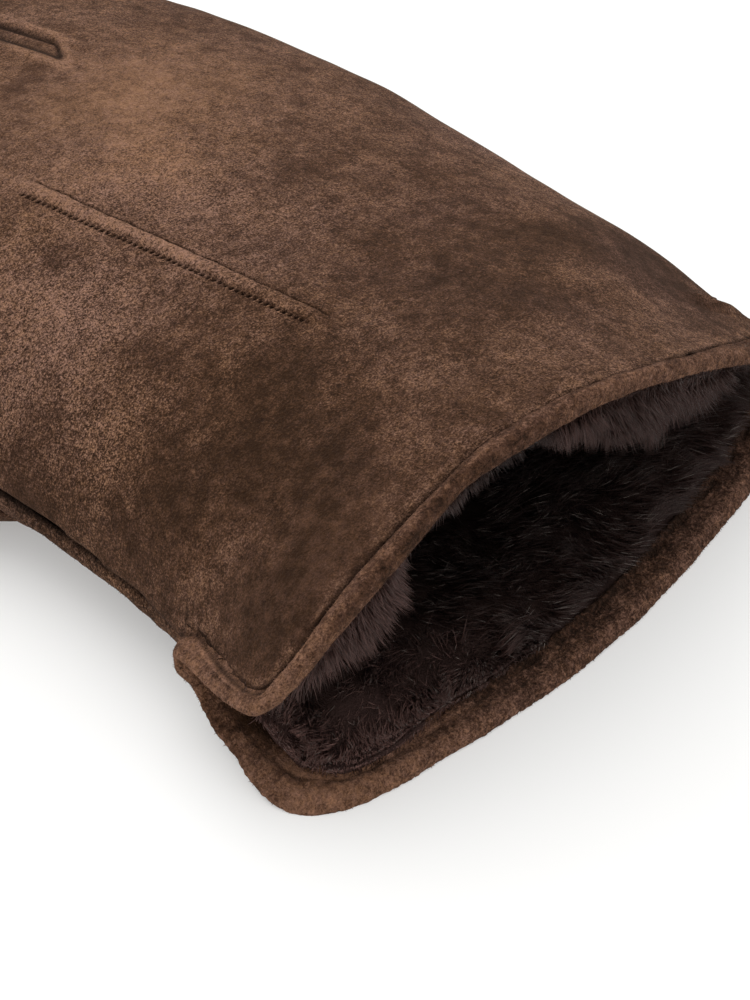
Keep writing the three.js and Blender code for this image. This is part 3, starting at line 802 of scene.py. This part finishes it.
def roll_tones(u, v, share, palm):
    """How light the strip is away from its seams, along the back's edge and along the palm's. Along the back
    it is painted light and shade: darker where its lower edge curves under, and on the far side lighter
    below than above. Along the palm it is lighter near the corner, darker under the vent's bulb as a painted
    shadow, and darker on the far side and on its tape.
    """
    across = smooth_between(0.3, 0.75, share)
    under_edge = fade_between(0.1, 0.4, share)
    far = smooth_between(0.22, 0.3, u)
    # painted light and shade across the back's roll
    back = far * (0.3 - 0.6 * across) - 0.4 * (1 - far) * smooth_between(0.08, 0.12, u) * under_edge
    far_side = fade_between(0.78, 0.88, u)
    tape = smooth_between(0.64, 0.68, v) * fade_between(0.785, 0.8, v) * palm
    lower = loop_spot(NEAR_CORNER, u) - loop_spot(BULB_SHADOW, u) - 0.35 * far_side - 0.7 * tape * far_side
    return back, lower


def sewn_binding(outer, inner, marks):
    """The form of the strip between two loops on the skin. It leaves what the finish needs in marks."""
    def form(u, v):
        column = np.rint(u * BAND_COLUMNS).astype(int) % BAND_COLUMNS
        palm = smooth_between(0.49, 0.54, u) * fade_between(0.985, 0.999, u)
        share, inset = roll_section(u, v, palm)
        on_face = inset < 0.5
        ridge, groove, hole = vent_seam(u, share, on_face)
        rim, tucked = raw_inner_edge(u, v, palm)
        swell = roll_swell(u, share, palm, on_face) + 0.12 * ridge - 0.14 * groove - 0.1 * hole
        back_light_and_shade, palm_tone = roll_tones(u, v, share, palm)
        # painted shade in the vent seam's groove and needle holes, and in the gap where the raw edge is
        # tucked in
        marks["dark"] = 0.35 * groove + 0.3 * hole + 0.75 * tucked
        # lighter: the raw rim, a painted highlight on the vent seam's ridge, and the roll's painted light
        # and shade
        marks["wear_and_painted_light"] = 1.1 * rim + 0.7 * ridge + back_light_and_shade * (1 - palm) + palm_tone * palm
        palm_crumb = 0.3 + 0.3 * fade_between(0.78, 0.88, u) - loop_spot(NEAR_CORNER, u)
        marks["crumb"] = 0.3 * (1 - palm) + palm_crumb * palm
        marks["palm"] = palm
        marks["edge"] = fade_between(0.15, 0.5, share)
        a0, y0 = outer[column].T
        a1, y1 = inner[column].T
        return hand_point(a0 + (a1 - a0) * share, y0 + (y1 - y0) * share, inset - swell - 0.6 * tucked)
    return form


def make_binding():
    whole = edge_loop(BAND_COLUMNS)
    loop_share = np.arange(BAND_COLUMNS) / BAND_COLUMNS
    trim = loop_spot(TRIMMED_BACK, loop_share)
    trim += loop_spot(TRIMMED_PALM, loop_share) * fade_between(0.98, 1, loop_share)
    marks = {}
    form = sewn_binding(behind(whole, trim), binding_rear(whole, 0), marks)
    bm = formed_grid(BAND_COLUMNS, BAND_ROWS, form, marks)
    points, normals = surface_of(bm)
    palm = read_marks(bm, "palm")
    lumps = soft_noise(points, 6, 0.2, 8) + soft_noise(points, 2, 0.08, 9)
    crumbs = soft_noise(points, 0.7, 0.1, 10) * (0.55 + 1.25 * palm)
    points += normals * (lumps + crumbs)[:, None]
    points[:, 2] = np.maximum(points[:, 2], 0)
    painted_shade = np.maximum(read_marks(bm, "dark"), 0.98 * bell(distances(DITCH_TREE, points), 0, 0.5))
    crumb = read_marks(bm, "crumb")
    # painted light: the back's roll lighter round the vent's lit edge, and the palm's roll lighter along its
    # outer edge, where light falls on it from below
    near_vent = bell(points[:, 0], VENT_X, 10) * (1 - palm)
    shade = 0.05 + 0.65 * near_vent + palm * (0.4 * read_marks(bm, "edge") + 0.2)
    shade += read_marks(bm, "wear_and_painted_light") + soft_noise(points, 1.8, 0.4, 12) + soft_noise(points, 0.9, 0.3, 34)
    shade += crumbs * 2
    warmth = warmth_tone(points) - 0.5 * palm * smooth_between(-45, -15, points[:, 0])
    move_points(bm, to_frame(points))
    piece = new_piece("cuff_roll", bm)
    write_nap(piece, points, painted_shade, shade, warmth)
    write_attribute(piece, "crumb", crumb)
    return piece


# The fur

LINING_FRONT = binding_rear(edge_loop(360), 2 * GAP)
PILE_LENGTH = 70                # along the hand, from the mouth to the lining's end
# How thick the fur stands under the back's edge: share of the loop, and millimetres
PLUSH = np.array([
    (0, 5), (0.06, 6), (0.09, 9.5), (0.12, 10.5), (0.14, 8), (0.157, 3), (0.172, 0.6), (0.25, 0.4),
    (0.275, 1.6), (0.3, 3.2), (0.32, 5.5), (0.34, 7.5), (0.38, 10), (0.45, 11), (1, 11),
])
# Section of the dense underfur: distance behind its front, and depth under the suede's face
PILE_SECTION = np.array([
    (-1.0, 2.7), (-0.3, 2.1), (4, 1.95), (20, 1.95), (45, 1.95), (69, 1.95), (70.3, 3.0), (69, 5.2),
    (45, 5.8), (22, 5.8), (12, 5.6), (7, 5.2), (3.6, 4.5), (1.2, 3.7),
])
INNER_FROM = 7                  # its inner face starts at this row
FRONT_ROWS = (12.2, 14.5)       # and its rounded front lies between these
PILE_COLUMNS = 300
PILE_ROWS = 112
HAIR_ROOT = 0.045               # half width of a guard hair at its root
HAIR_MIDDLE = 0.055
HAIRS_IN_LOCK = 50
FIBRE = 0.055                   # half width of a fibre of raised nap


def lining_point(turn, distance, inset):
    """A point of the lining: turn goes round it from 0 to 1, distance is behind its front."""
    place = np.asarray(turn) % 1 * len(LINING_FRONT)
    i = np.floor(place).astype(int)
    f = place - i
    first = LINING_FRONT[i % len(LINING_FRONT)]
    following = LINING_FRONT[(i + 1) % len(LINING_FRONT)].copy()
    following[:, 0] -= 360 * (following[:, 0] - first[:, 0] > 180)
    angle = first[:, 0] + f * (following[:, 0] - first[:, 0])
    front = first[:, 1] + f * (following[:, 1] - first[:, 1])
    depth = distance / PILE_LENGTH
    even = 180 - 360 * np.asarray(turn)
    angle = angle + (even - angle) * smooth_between(0, 0.4, depth)
    return hand_point(angle, front + (LINING_END - front) * depth, inset)


def ceiling_share(turn):
    """1 under the back, 0 over the palm."""
    turn = np.asarray(turn) % 1
    return smooth_between(0.015, 0.06, turn) * fade_between(0.45, 0.5, turn)


def parting(turn):
    """Where the fur under the back's edge is brushed away from it."""
    return smooth_between(0.155, 0.175, turn) * fade_between(0.25, 0.27, turn)


def pile_point(turn, v):
    """A point of the underfur's surface: v goes round its section. Also the distance behind its front."""
    distance, inset = round_table(PILE_SECTION, v).T
    # On the palm the fur starts behind the binding's tape, but over it near the vent and the right seam
    by_vent = smooth_between(0.92, 0.95, turn) * fade_between(0.985, 1, turn)
    by_right_seam = bell(turn, 0.5, 0.03)
    set_back = 1.7 * fade_between(0.8, 0.87, turn) - 3.4 * by_vent - 2.6 * by_right_seam
    distance = distance + set_back * (1 - ceiling_share(turn)) * fade_between(-1, 4, distance)
    near_mouth = fade_between(9, 28, distance)
    uneven = soft_noise(np.stack([turn * 32, distance * 0.15, distance * 0], -1), 1, 2.4, 31)
    plush = (np.interp(turn % 1, PLUSH[:, 0], PLUSH[:, 1]) + uneven) * ceiling_share(turn)
    inner_face = np.clip((inset - 2.4) / 1.4, 0, 1)
    inset = inset + plush * near_mouth * inner_face + 1.1 * by_vent * near_mouth
    return lining_point(turn, distance, inset), distance


def make_underfur():
    """The hide with its dense underfur, closed round its section."""
    marks = {}

    def form(u, v):
        places, marks["distance"] = pile_point(u, v)
        marks["turn"] = u
        return places

    bm = formed_grid(PILE_COLUMNS, PILE_ROWS, form, marks)
    points, normals = surface_of(bm)
    under_skin = back_height(points)[0] - points[:, 2]
    clear = smooth_between(2.4, 4, np.minimum(points[:, 2], under_skin))
    clumps = soft_noise(points, 7, 0.9, 13) + soft_noise(points, 2.4, 0.5, 14)
    points += normals * (clumps * clear)[:, None]
    points[:, 2] = np.maximum(points[:, 2], SUEDE + GAP)
    move_points(bm, to_frame(points))
    turn, distance = read_marks(bm, "turn"), read_marks(bm, "distance")
    piece = new_piece("underfur", bm)
    write_attribute(piece, "pale", paleness(points, turn, distance))
    return piece


def flow(points, size, seed):
    shift = Vector((seed, seed * 0.3, seed * 0.7))
    return np.array([noise.noise_vector(Vector(p) / size + shift) for p in points])


def pile_share(distance):
    """Where round its section the underfur's inner face lies, at a distance behind its front."""
    rows = len(PILE_SECTION)
    inner = PILE_SECTION[INNER_FROM:, 0][::-1]
    place = np.arange(rows - 1, INNER_FROM - 1, -1)
    return np.interp(distance, [PILE_SECTION[0, 0], *inner], [rows, *place]) / rows


def lit_corner(turn):
    """The palm's corner by the vent, where light falls on the fur."""
    return smooth_between(0.74, 0.88, turn % 1)


def paleness(root, turn, distance):
    """Where the fur shows its grey side: under the back's edge. Over the palm it is paler near the mouth,
    and round the corner by the vent it is painted paler where light falls on it.
    """
    ceiling = ceiling_share(turn)
    band = fade_between(7, 13, distance) * (1 - 0.93 * parting(turn))
    band *= 1 - 0.5 * smooth_between(0.25, 0.3, turn)
    # painted light: paler hairs round the lit corner by the vent
    corner = bell(root[:, 0], -42, 18) * fade_between(2, 12, distance)
    palm = fade_between(1, 20, distance) * (1 - ceiling)
    return np.maximum(band * ceiling, np.maximum(0.75 * corner, (0.3 + 0.7 * lit_corner(turn)) * palm))


def keep_inside(points, behind_front):
    """Moves points of hairs that would pierce the suede back inside it."""
    wall, lowest = SUEDE + 1.2, SUEDE + 2.2
    points[:, 2] = np.maximum(points[:, 2], lowest)
    s = section_at(points[:, 1])
    drop = np.clip((SEAM_HEIGHT - points[:, 2]) / (SEAM_HEIGHT + SETTLE), 0, 1)
    share = (1 - drop ** s["under"]) ** (1 / s["under"])
    left = s["crown_x"] + share * (s["left"] - s["crown_x"]) + wall
    right = s["crown_x"] + share * (s["right"] - s["crown_x"]) - wall
    points[:, 0] = np.where(behind_front, np.clip(points[:, 0], left, right), points[:, 0])
    top, _ = back_height(points)
    under_top = np.minimum(points[:, 2], np.maximum(top - wall, lowest))
    points[:, 2] = np.where(behind_front, under_top, points[:, 2])


def plant(rng, count, turns, reach):
    """Roots of hairs on the underfur: turn round the lining, and share round the section.
    reach is from where to where they grow behind the front."""
    turn = rng.uniform(*turns, count)
    distance = reach[0] + (reach[1] - reach[0]) * rng.uniform(0, 1, count) ** 1.3
    v = pile_share(distance)
    with_front = (ceiling_share(turn) > 0.5) * (reach[0] < 0)
    with_front |= (turn > 0.76) * (turn < 0.99) * (reach[0] < 2)
    on_front = (rng.uniform(0, 1, count) < 0.42) * with_front
    return turn, np.where(on_front, rng.uniform(*FRONT_ROWS, count) / len(PILE_SECTION), v)


def out_of_hide(turn, v, root):
    """Directions out of the underfur into the hollow of the hand."""
    across, _ = pile_point(turn + 0.001, v)
    ahead, _ = pile_point(turn, v + 0.002)
    out = unit(np.cross(across - root, ahead - root))
    middle_of_hand = np.stack([0 * turn, root[:, 1], root[:, 2] * 0 + SEAM_HEIGHT + 6], -1)
    return out * np.sign(((middle_of_hand - root) * out).sum(1))[:, None]


def gather_tips(rng, root, tip):
    """Draws the tips of neighbouring hairs together into soft locks."""
    centres = rng.choice(len(root), len(root) // HAIRS_IN_LOCK, replace=False)
    nearest = line_tree(root[centres])
    gather = rng.uniform(0.15, 0.65, len(centres))
    for i, place in enumerate(root):
        _, k, away = nearest.find(Vector(place))
        pull = gather[k] * math.exp(-((away / 2.2) ** 2))
        tip[i] += (tip[centres[k]] - tip[i]) * pull


def ring(centre, side, other, width):
    """Three points round each centre."""
    turns = [2 * math.pi * k / 3 for k in range(3)]
    return [centre + width * (side * math.cos(t) + other * math.sin(t)) for t in turns]


def make_strands(name, count, turns, reach, length, seed):
    """Single guard hairs: closed, tapered, three sided, bent and gathered into soft locks."""
    rng = np.random.default_rng(SEED + seed)
    turn, v = plant(rng, count, turns, reach)
    root, distance = pile_point(turn, v)
    inward = out_of_hide(turn, v, root)
    depth = 4 + 0 * turn
    mouth = unit(lining_point(turn, distance - 1.5, depth) - lining_point(turn, distance, depth))
    root -= inward * 0.5
    under_back = ceiling_share(turn)
    ceiling = under_back[:, None]
    swirl = flow(root, 9, 0)
    finer = flow(root, 3, 5)
    lean = np.clip(root[:, :1] / 45, -1, 1) * [1, 0, 0]
    hanging = inward * [0.25, 0.7, 0.7] + mouth * 0.35 + [0, 0, -0.5] + swirl * 0.35
    combed = inward * 0.35 + mouth * 0.8 + lean * 0.45 + swirl * 0.7
    way = unit(combed + (hanging - combed) * ceiling + finer * 0.4 + rng.normal(0, 0.17, (count, 3)))
    glint = rng.uniform(0, 1, count) * (1 - 0.6 * under_back * (distance < 12))
    shorter_front = 1 - 0.4 * fade_between(5, 11, distance) * under_back
    size = length * rng.uniform(0.5, 1.2, count) * shorter_front * (1 - 0.4 * (glint > 0.86))
    size *= 1 - 0.4 * parting(turn) * (distance < 14)
    towards_mouth = np.maximum((way * mouth).sum(1), 0.15)
    room = np.maximum(distance, 0) + (0.6 + 3.0 * under_back)
    size = np.minimum(size, room / towards_mouth)
    bend = mouth * 0.3 + swirl * 0.6 + finer * 0.6 + ceiling * [0, 0, -0.4] + [0, 0, 0.05]
    tip = root + way * size[:, None] + bend * (size * 0.45)[:, None]
    gather_tips(rng, root, tip)
    middle = (root + tip) / 2 + (way - unit(tip - root)) * (size * 0.22)[:, None]
    for place in (middle, tip):
        keep_inside(place, distance > 1.5)
    side = unit(np.cross(way, rng.normal(0, 1, (count, 3))))
    other = unit(np.cross(way, side))
    verts = np.stack([*ring(root, side, other, HAIR_ROOT), *ring(middle, side, other, HAIR_MIDDLE), tip], 1)
    faces = [(2, 1, 0)]
    for k in range(3):
        k2 = (k + 1) % 3
        faces += [(k, k2, k2 + 3), (k, k2 + 3, k + 3), (k + 3, k2 + 3, 6)]
    piece = joined(name, verts, faces)
    # the hairs of the lit corner are painted lighter
    lit = lit_corner(turn) * (1 - under_back) * fade_between(3, 16, distance)
    shade = rng.uniform(0, 1, count) + lit
    pale = paleness(root, turn, distance + rng.normal(0, 1, count) + 3 * swirl[:, 0])
    write_attribute(piece, "tip", np.tile([0, 0, 0, 0.5, 0.5, 0.5, 1.0], count))
    for mark, values in (("shade", shade), ("glint", glint), ("pale", pale)):
        write_attribute(piece, mark, np.repeat(values, verts.shape[1]))
    return piece


def joined(name, verts, faces):
    """One mesh of many small shapes. verts has a row of points for each, and faces are those of one."""
    count, per = verts.shape[:2]
    faces = (np.array(faces)[None] + per * np.arange(count)[:, None, None]).reshape(-1, 3)
    mesh = bpy.data.meshes.new(name)
    mesh.from_pydata(to_frame(verts.reshape(-1, 3)), [], faces)
    mesh.shade_smooth()
    return in_scene(name, mesh)


def triangles_of(mesh):
    """Corner numbers of a mesh's triangles, and its points in the layout."""
    mesh.calc_loop_triangles()
    corners = np.zeros(len(mesh.loop_triangles) * 3, np.int32)
    mesh.loop_triangles.foreach_get("vertices", corners)
    co = np.zeros(len(mesh.vertices) * 3)
    mesh.vertices.foreach_get("co", co)
    return corners.reshape(-1, 3), to_layout(co.reshape(-1, 3))


def make_fuzz(name, piece, count, length, wanted, seed):
    """Short fibres of raised nap standing on a piece, closed and pointed. wanted(points) says where."""
    rng = np.random.default_rng(SEED + seed)
    mesh = piece.data
    corners, co = triangles_of(mesh)
    a, b, c = [co[corners[:, k]] for k in range(3)]
    across = np.cross(b - a, c - a)
    area = np.linalg.norm(across, axis=1) * wanted((a + b + c) / 3)
    pick = rng.choice(len(area), count, p=area / area.sum())
    s, t = rng.uniform(0, 1, (2, count, 1))
    s, t = np.where(s + t > 1, 1 - s, s), np.where(s + t > 1, 1 - t, t)
    root = a[pick] + s * (b - a)[pick] + t * (c - a)[pick]
    normal = unit(across[pick])
    way = unit(normal + rng.normal(0, 0.75, (count, 3)))
    tip = root + way * (length * rng.uniform(0.5, 1.3, count))[:, None]
    tip[:, 2] = np.maximum(tip[:, 2], 0.03)
    side = unit(np.cross(way, rng.normal(0, 1, (count, 3))))
    verts = np.stack([*ring(root - normal * 0.05, side, np.cross(way, side), FIBRE), tip], 1)
    fuzz = joined(name, verts, [(2, 1, 0), (0, 1, 3), (1, 2, 3), (2, 0, 3)])
    tone = np.zeros(len(mesh.vertices))
    mesh.attributes["nap"].data.foreach_get("value", tone)
    write_attribute(fuzz, "nap", np.repeat(tone[corners[pick, 0]] + rng.normal(0.1, 0.35, count), 4))
    write_attribute(fuzz, "curl", np.ones(4 * count))
    return fuzz


# Finishes

class Finish:
    """A material with short calls for its nodes."""

    def __init__(self, name):
        self.material = bpy.data.materials.new(name)
        self.material.use_nodes = True
        self.tree = self.material.node_tree
        self.shader = self.tree.nodes["Principled BSDF"]
        self.place = self.node("ShaderNodeTexCoord").outputs["Object"]

    def node(self, kind, **settings):
        made = self.tree.nodes.new(kind)
        for key, value in settings.items():
            setattr(made, key, value)
        return made

    def join(self, source, target):
        self.tree.links.new(source, target)

    def noise(self, size, detail=2, rough=0.5):
        """Noise with features of a size in metres."""
        made = self.node("ShaderNodeTexNoise")
        made.inputs["Scale"].default_value = 1 / size
        made.inputs["Detail"].default_value = detail
        made.inputs["Roughness"].default_value = rough
        self.join(self.place, made.inputs["Vector"])
        return made.outputs["Fac"]

    def lines(self, size, width, strength):
        """Thin wandering lines, where a noise passes its middle."""
        from_middle = self.math("ABSOLUTE", self.math("SUBTRACT", self.noise(size, 1, 0.5), 0.5), 0)
        return self.spread(from_middle, 0.0, width, strength, 0)

    def attribute(self, name):
        return self.node("ShaderNodeAttribute", attribute_name=name).outputs["Fac"]

    def math(self, operation, a, b):
        made = self.node("ShaderNodeMath", operation=operation)
        for socket, value in zip(made.inputs, (a, b)):
            if isinstance(value, (int, float)):
                socket.default_value = value
            else:
                self.join(value, socket)
        return made.outputs[0]

    def plus(self, a, b):
        return self.math("ADD", a, b)

    def times(self, a, b):
        return self.math("MULTIPLY", a, b)

    def spread(self, value, low, high, to_low=0.0, to_high=1.0):
        made = self.node("ShaderNodeMapRange")
        self.join(value, made.inputs["Value"])
        for name, number in (("From Min", low), ("From Max", high), ("To Min", to_low), ("To Max", to_high)):
            made.inputs[name].default_value = number
        return made.outputs["Result"]

    def swing(self, noise, amount):
        """A noise's usual range as an amount below and above 0."""
        return self.spread(noise, 0.3, 0.7, -amount, amount)

    def ramp(self, value, stops):
        made = self.node("ShaderNodeValToRGB")
        elements = made.color_ramp.elements
        while len(elements) < len(stops):
            elements.new(0.5)
        for element, (position, colour) in zip(elements, stops):
            element.position = position
            element.color = (*colour, 1)
        self.join(value, made.inputs["Fac"])
        return made.outputs["Color"]

    def mix(self, share, a, b, blend="MIX"):
        made = self.node("ShaderNodeMix", data_type="RGBA", blend_type=blend)
        for socket, value in ((made.inputs["Factor"], share), (made.inputs["A"], a), (made.inputs["B"], b)):
            if isinstance(value, (int, float)):
                socket.default_value = value
            elif isinstance(value, tuple):
                socket.default_value = (*value, 1)
            else:
                self.join(value, socket)
        return made.outputs["Result"]

    def bump(self, height, strength, distance):
        made = self.node("ShaderNodeBump")
        made.inputs["Strength"].default_value = strength
        made.inputs["Distance"].default_value = distance
        self.join(height, made.inputs["Height"])
        self.join(made.outputs["Normal"], self.shader.inputs["Normal"])

    def paint(self, colour):
        self.join(colour, self.shader.inputs["Base Color"])

    def set(self, **values):
        for name, value in values.items():
            self.shader.inputs[name.replace("_", " ")].default_value = value


def shaded(colour, share):
    return tuple(c * share for c in colour)


def suede_finish(name, dark, middle, light, coarse):
    """Brushed suede: patches from the nap, a speckle that grows where it is raised, small dark cracks, and
    near-black painted shade where a piece marks its folds, grooves and seams.
    """
    f = Finish(name)
    grain = f.noise(0.00026, 2, 0.7)
    curl = f.noise(0.00054, 3, 0.75)
    patch = f.noise(0.0022, 3, 0.65)
    crumbs = f.spread(f.noise(0.0005, 2, 0.65), 0.36, 0.64, -0.45, 0.45)
    crumb = f.times(f.attribute("crumb"), crumbs)
    worm = f.lines(0.0005, 0.035, 0.5)
    nap = f.attribute("nap")
    tone = f.plus(f.spread(nap, -1.2, 1.2), f.swing(patch, 0.19))
    raised = f.times(f.spread(nap, -0.9, 0.6, 0.3 * coarse, coarse), f.attribute("curl"))
    speckle = f.plus(f.swing(grain, 0.6), f.swing(curl, 0.4))
    tone = f.plus(tone, f.times(speckle, raised))
    tone = f.spread(f.plus(tone, crumb), -0.4, 1.4)
    darkest, lightest = shaded(dark, 0.5), shaded(light, 1.7)
    colour = f.ramp(tone, [(0.0, darkest), (0.28, dark), (0.5, middle), (0.72, light), (1.0, lightest)])
    colour = f.mix(f.times(worm, raised), colour, dark)
    tint = f.plus(f.spread(f.attribute("warmth"), -1, 1), f.swing(f.noise(0.0009, 2, 0.6), 0.3))
    hue = f.ramp(tint, [(0.1, (0.985, 1.0, 1.06)), (0.9, (1.02, 0.985, 0.84))])
    colour = f.mix(1.0, colour, hue, "MULTIPLY")
    here_and_there = f.spread(f.noise(0.0045, 1, 0.5), 0.53, 0.62, 0, 0.6)
    crack = f.times(f.lines(0.0017, 0.016, 1), here_and_there)
    # small dark cracks, and the painted shade that the pieces carry, both near black
    cracks_and_painted_shade = f.math("MAXIMUM", crack, f.attribute("painted_shade"))
    f.paint(f.mix(cracks_and_painted_shade, colour, (0.007, 0.0035, 0.0025)))
    f.set(Roughness=0.95, Specular_IOR_Level=0.04, Sheen_Weight=0.06, Sheen_Roughness=0.5)
    f.set(Sheen_Tint=(0.6, 0.42, 0.33, 1))
    height = f.plus(f.times(grain, f.spread(nap, -0.9, 0.7, 0.4, 1.0)), curl)
    height = f.plus(height, f.times(crumb, 1.5))
    f.bump(height, 1.0, 0.0004)
    return f.material


def fur_finish(name, root, tip, pale):
    """Guard hairs: dark with glossy tips, paler and greyer where they are brushed back under the edge,
    painted lighter in the lit corner, and a few with painted glints towards their tips.
    """
    f = Finish(name)
    along = f.plus(f.attribute("tip"), f.spread(f.attribute("shade"), 0, 1, -0.35, 0.3))
    colour = f.ramp(along, [(0.1, root), (0.7, tip)])
    soft = f.mix(f.spread(f.attribute("shade"), 0, 2), shaded(pale, 0.5), shaded(pale, 2))
    colour = f.mix(f.attribute("pale"), colour, soft)
    # painted glints on a few hairs
    shining = f.spread(f.attribute("glint"), 0.87, 0.93)
    glint = f.times(shining, f.spread(f.attribute("tip"), 0.1, 0.8, 0, 0.85))
    colour = f.mix(glint, colour, (0.28, 0.235, 0.21))
    f.paint(colour)
    f.set(Roughness=0.38, Specular_IOR_Level=0.22)
    return f.material


def underfur_finish(name, dark, light, pale):
    """Dull short wool under the guard hairs."""
    f = Finish(name)
    fine = f.noise(0.0003, 3, 0.7)
    clump = f.noise(0.003, 2, 0.6)
    shade = f.times(fine, clump)
    colour = f.mix(f.attribute("pale"), f.ramp(shade, [(0.12, dark), (0.42, light)]), pale)
    f.paint(colour)
    f.set(Roughness=0.95, Specular_IOR_Level=0.03)
    f.bump(fine, 1.0, 0.0008)
    return f.material


# Floor, light and camera

LOOK_AT = (0, 47.6, 0)          # layout point in the middle of the picture
AZIMUTH = -47
ELEVATION = 37
DISTANCE = 426.4
LENS = 109.2
SENSOR = 36                     # along the picture's long side
LIT_POINT = (0, 0, 0.02)        # point of the frame that the light is turned to


def make_floor():
    bm = bmesh.new()
    bmesh.ops.create_grid(bm, x_segments=1, y_segments=1, size=3)
    floor = new_piece("floor", bm)
    f = Finish("pale floor")
    f.set(Base_Color=(0.59, 0.59, 0.586, 1), Roughness=0.85)
    f.set(Emission_Color=(1, 1, 0.99, 1), Emission_Strength=0.32)
    floor.data.materials.append(f.material)


def look_from(seen_from, azimuth, elevation, distance, target):
    """Puts a camera or a light at a distance from a target and turns it that way."""
    a, e = math.radians(azimuth), math.radians(elevation)
    back = Vector((math.sin(a) * math.cos(e), -math.cos(a) * math.cos(e), math.sin(e)))
    seen_from.location = Vector(target) + back * distance
    seen_from.rotation_mode = "QUATERNION"
    seen_from.rotation_quaternion = back.to_track_quat("Z", "Y")


def make_camera():
    data = bpy.data.cameras.new("camera")
    data.lens = LENS
    data.sensor_width = SENSOR
    camera = in_scene("camera", data)
    look_from(camera, AZIMUTH, ELEVATION, DISTANCE * MM, to_frame(LOOK_AT))
    bpy.context.scene.camera = camera


def make_light(name, azimuth, elevation, distance, size, power):
    data = bpy.data.lights.new(name, "AREA")
    data.shape = "DISK"
    data.size = size
    data.energy = power
    look_from(in_scene(name, data), azimuth, elevation, distance, LIT_POINT)


def make_studio():
    world = bpy.data.worlds.new("studio")
    world.use_nodes = True
    background = world.node_tree.nodes["Background"]
    background.inputs["Color"].default_value = (1, 0.99, 0.98, 1)
    background.inputs["Strength"].default_value = 0.98
    bpy.context.scene.world = world
    make_light("key", azimuth=168, elevation=62, distance=1.6, size=2.4, power=19)
    bpy.context.scene.view_settings.view_transform = "Standard"


# Putting the glove together

make_floor()
make_camera()
make_studio()

SUEDE_BROWN = suede_finish(
    "brown suede", dark=(0.03, 0.0145, 0.008), middle=(0.083, 0.0415, 0.0265), light=(0.205, 0.112, 0.075),
    coarse=1.0)
BINDING_BROWN = suede_finish(
    "binding suede", dark=(0.026, 0.013, 0.008), middle=(0.084, 0.041, 0.0265), light=(0.205, 0.108, 0.071),
    coarse=0.55)
FUR = fur_finish(
    "dark fur", root=(0.034, 0.019, 0.016), tip=(0.018, 0.0095, 0.008), pale=(0.1, 0.054, 0.046))
UNDERFUR = underfur_finish(
    "underfur wool", dark=(0.005, 0.003, 0.0025), light=(0.03, 0.018, 0.015), pale=(0.075, 0.044, 0.039))


def dress(piece, material, slot, *nodes):
    """Gives a piece its finish, attaches it to the root, and hides the nodes it stands for."""
    piece.data.materials.append(material)
    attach(piece, "root")
    if nodes:
        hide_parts(*nodes)


def everywhere(points):
    return 1.0


def below_side_seam(points):
    """The palm's side from above the table to the seam, as far as the knuckles."""
    return (points[:, 2] > 3) * (points[:, 1] < 120) * (points[:, 2] < 11.6)


dress(make_back(), SUEDE_BROWN, "suede", "back_panel")
palm = make_plain_suede("palm_panel", "palm_suede", PALM_CELL, is_palm=True)
dress(palm, SUEDE_BROWN, "suede", "palm_panel")
dress(make_plain_suede("thumb", "thumb_suede", THUMB_CELL), SUEDE_BROWN, "suede", "thumb")
for strip in ("index_middle", "middle_ring", "ring_little"):
    node = "fourchette_" + strip
    dress(make_plain_suede(node, "strip_" + strip, STRIP_CELL), SUEDE_BROWN, "suede", node)
binding = make_binding()
dress(binding, BINDING_BROWN, "binding", "cuff_binding")
dress(make_fuzz("cuff_roll_nap", binding, 13000, 0.33, everywhere, 7), BINDING_BROWN, "binding")
dress(make_fuzz("side_seam_nap", palm, 6000, 0.24, below_side_seam, 8), SUEDE_BROWN, "suede")
dress(make_underfur(), UNDERFUR, "fur", "fur_lining")

# Hairs of the fur: how many, from where to where round the lining and behind its front, and how long
Hairs = namedtuple("Hairs", "name count turns reach length seed")
for hairs in (
    Hairs("fur_under_back", 17500, (0.0, 0.52), (-0.6, 30), 6, 1),
    Hairs("fur_over_palm", 17000, (0.48, 1.0), (0.8, 34), 6.5, 2),
    Hairs("fur_inside", 3000, (0.0, 1.0), (28, 68), 8, 3),
):
    dress(make_strands(*hairs), FUR, "fur")
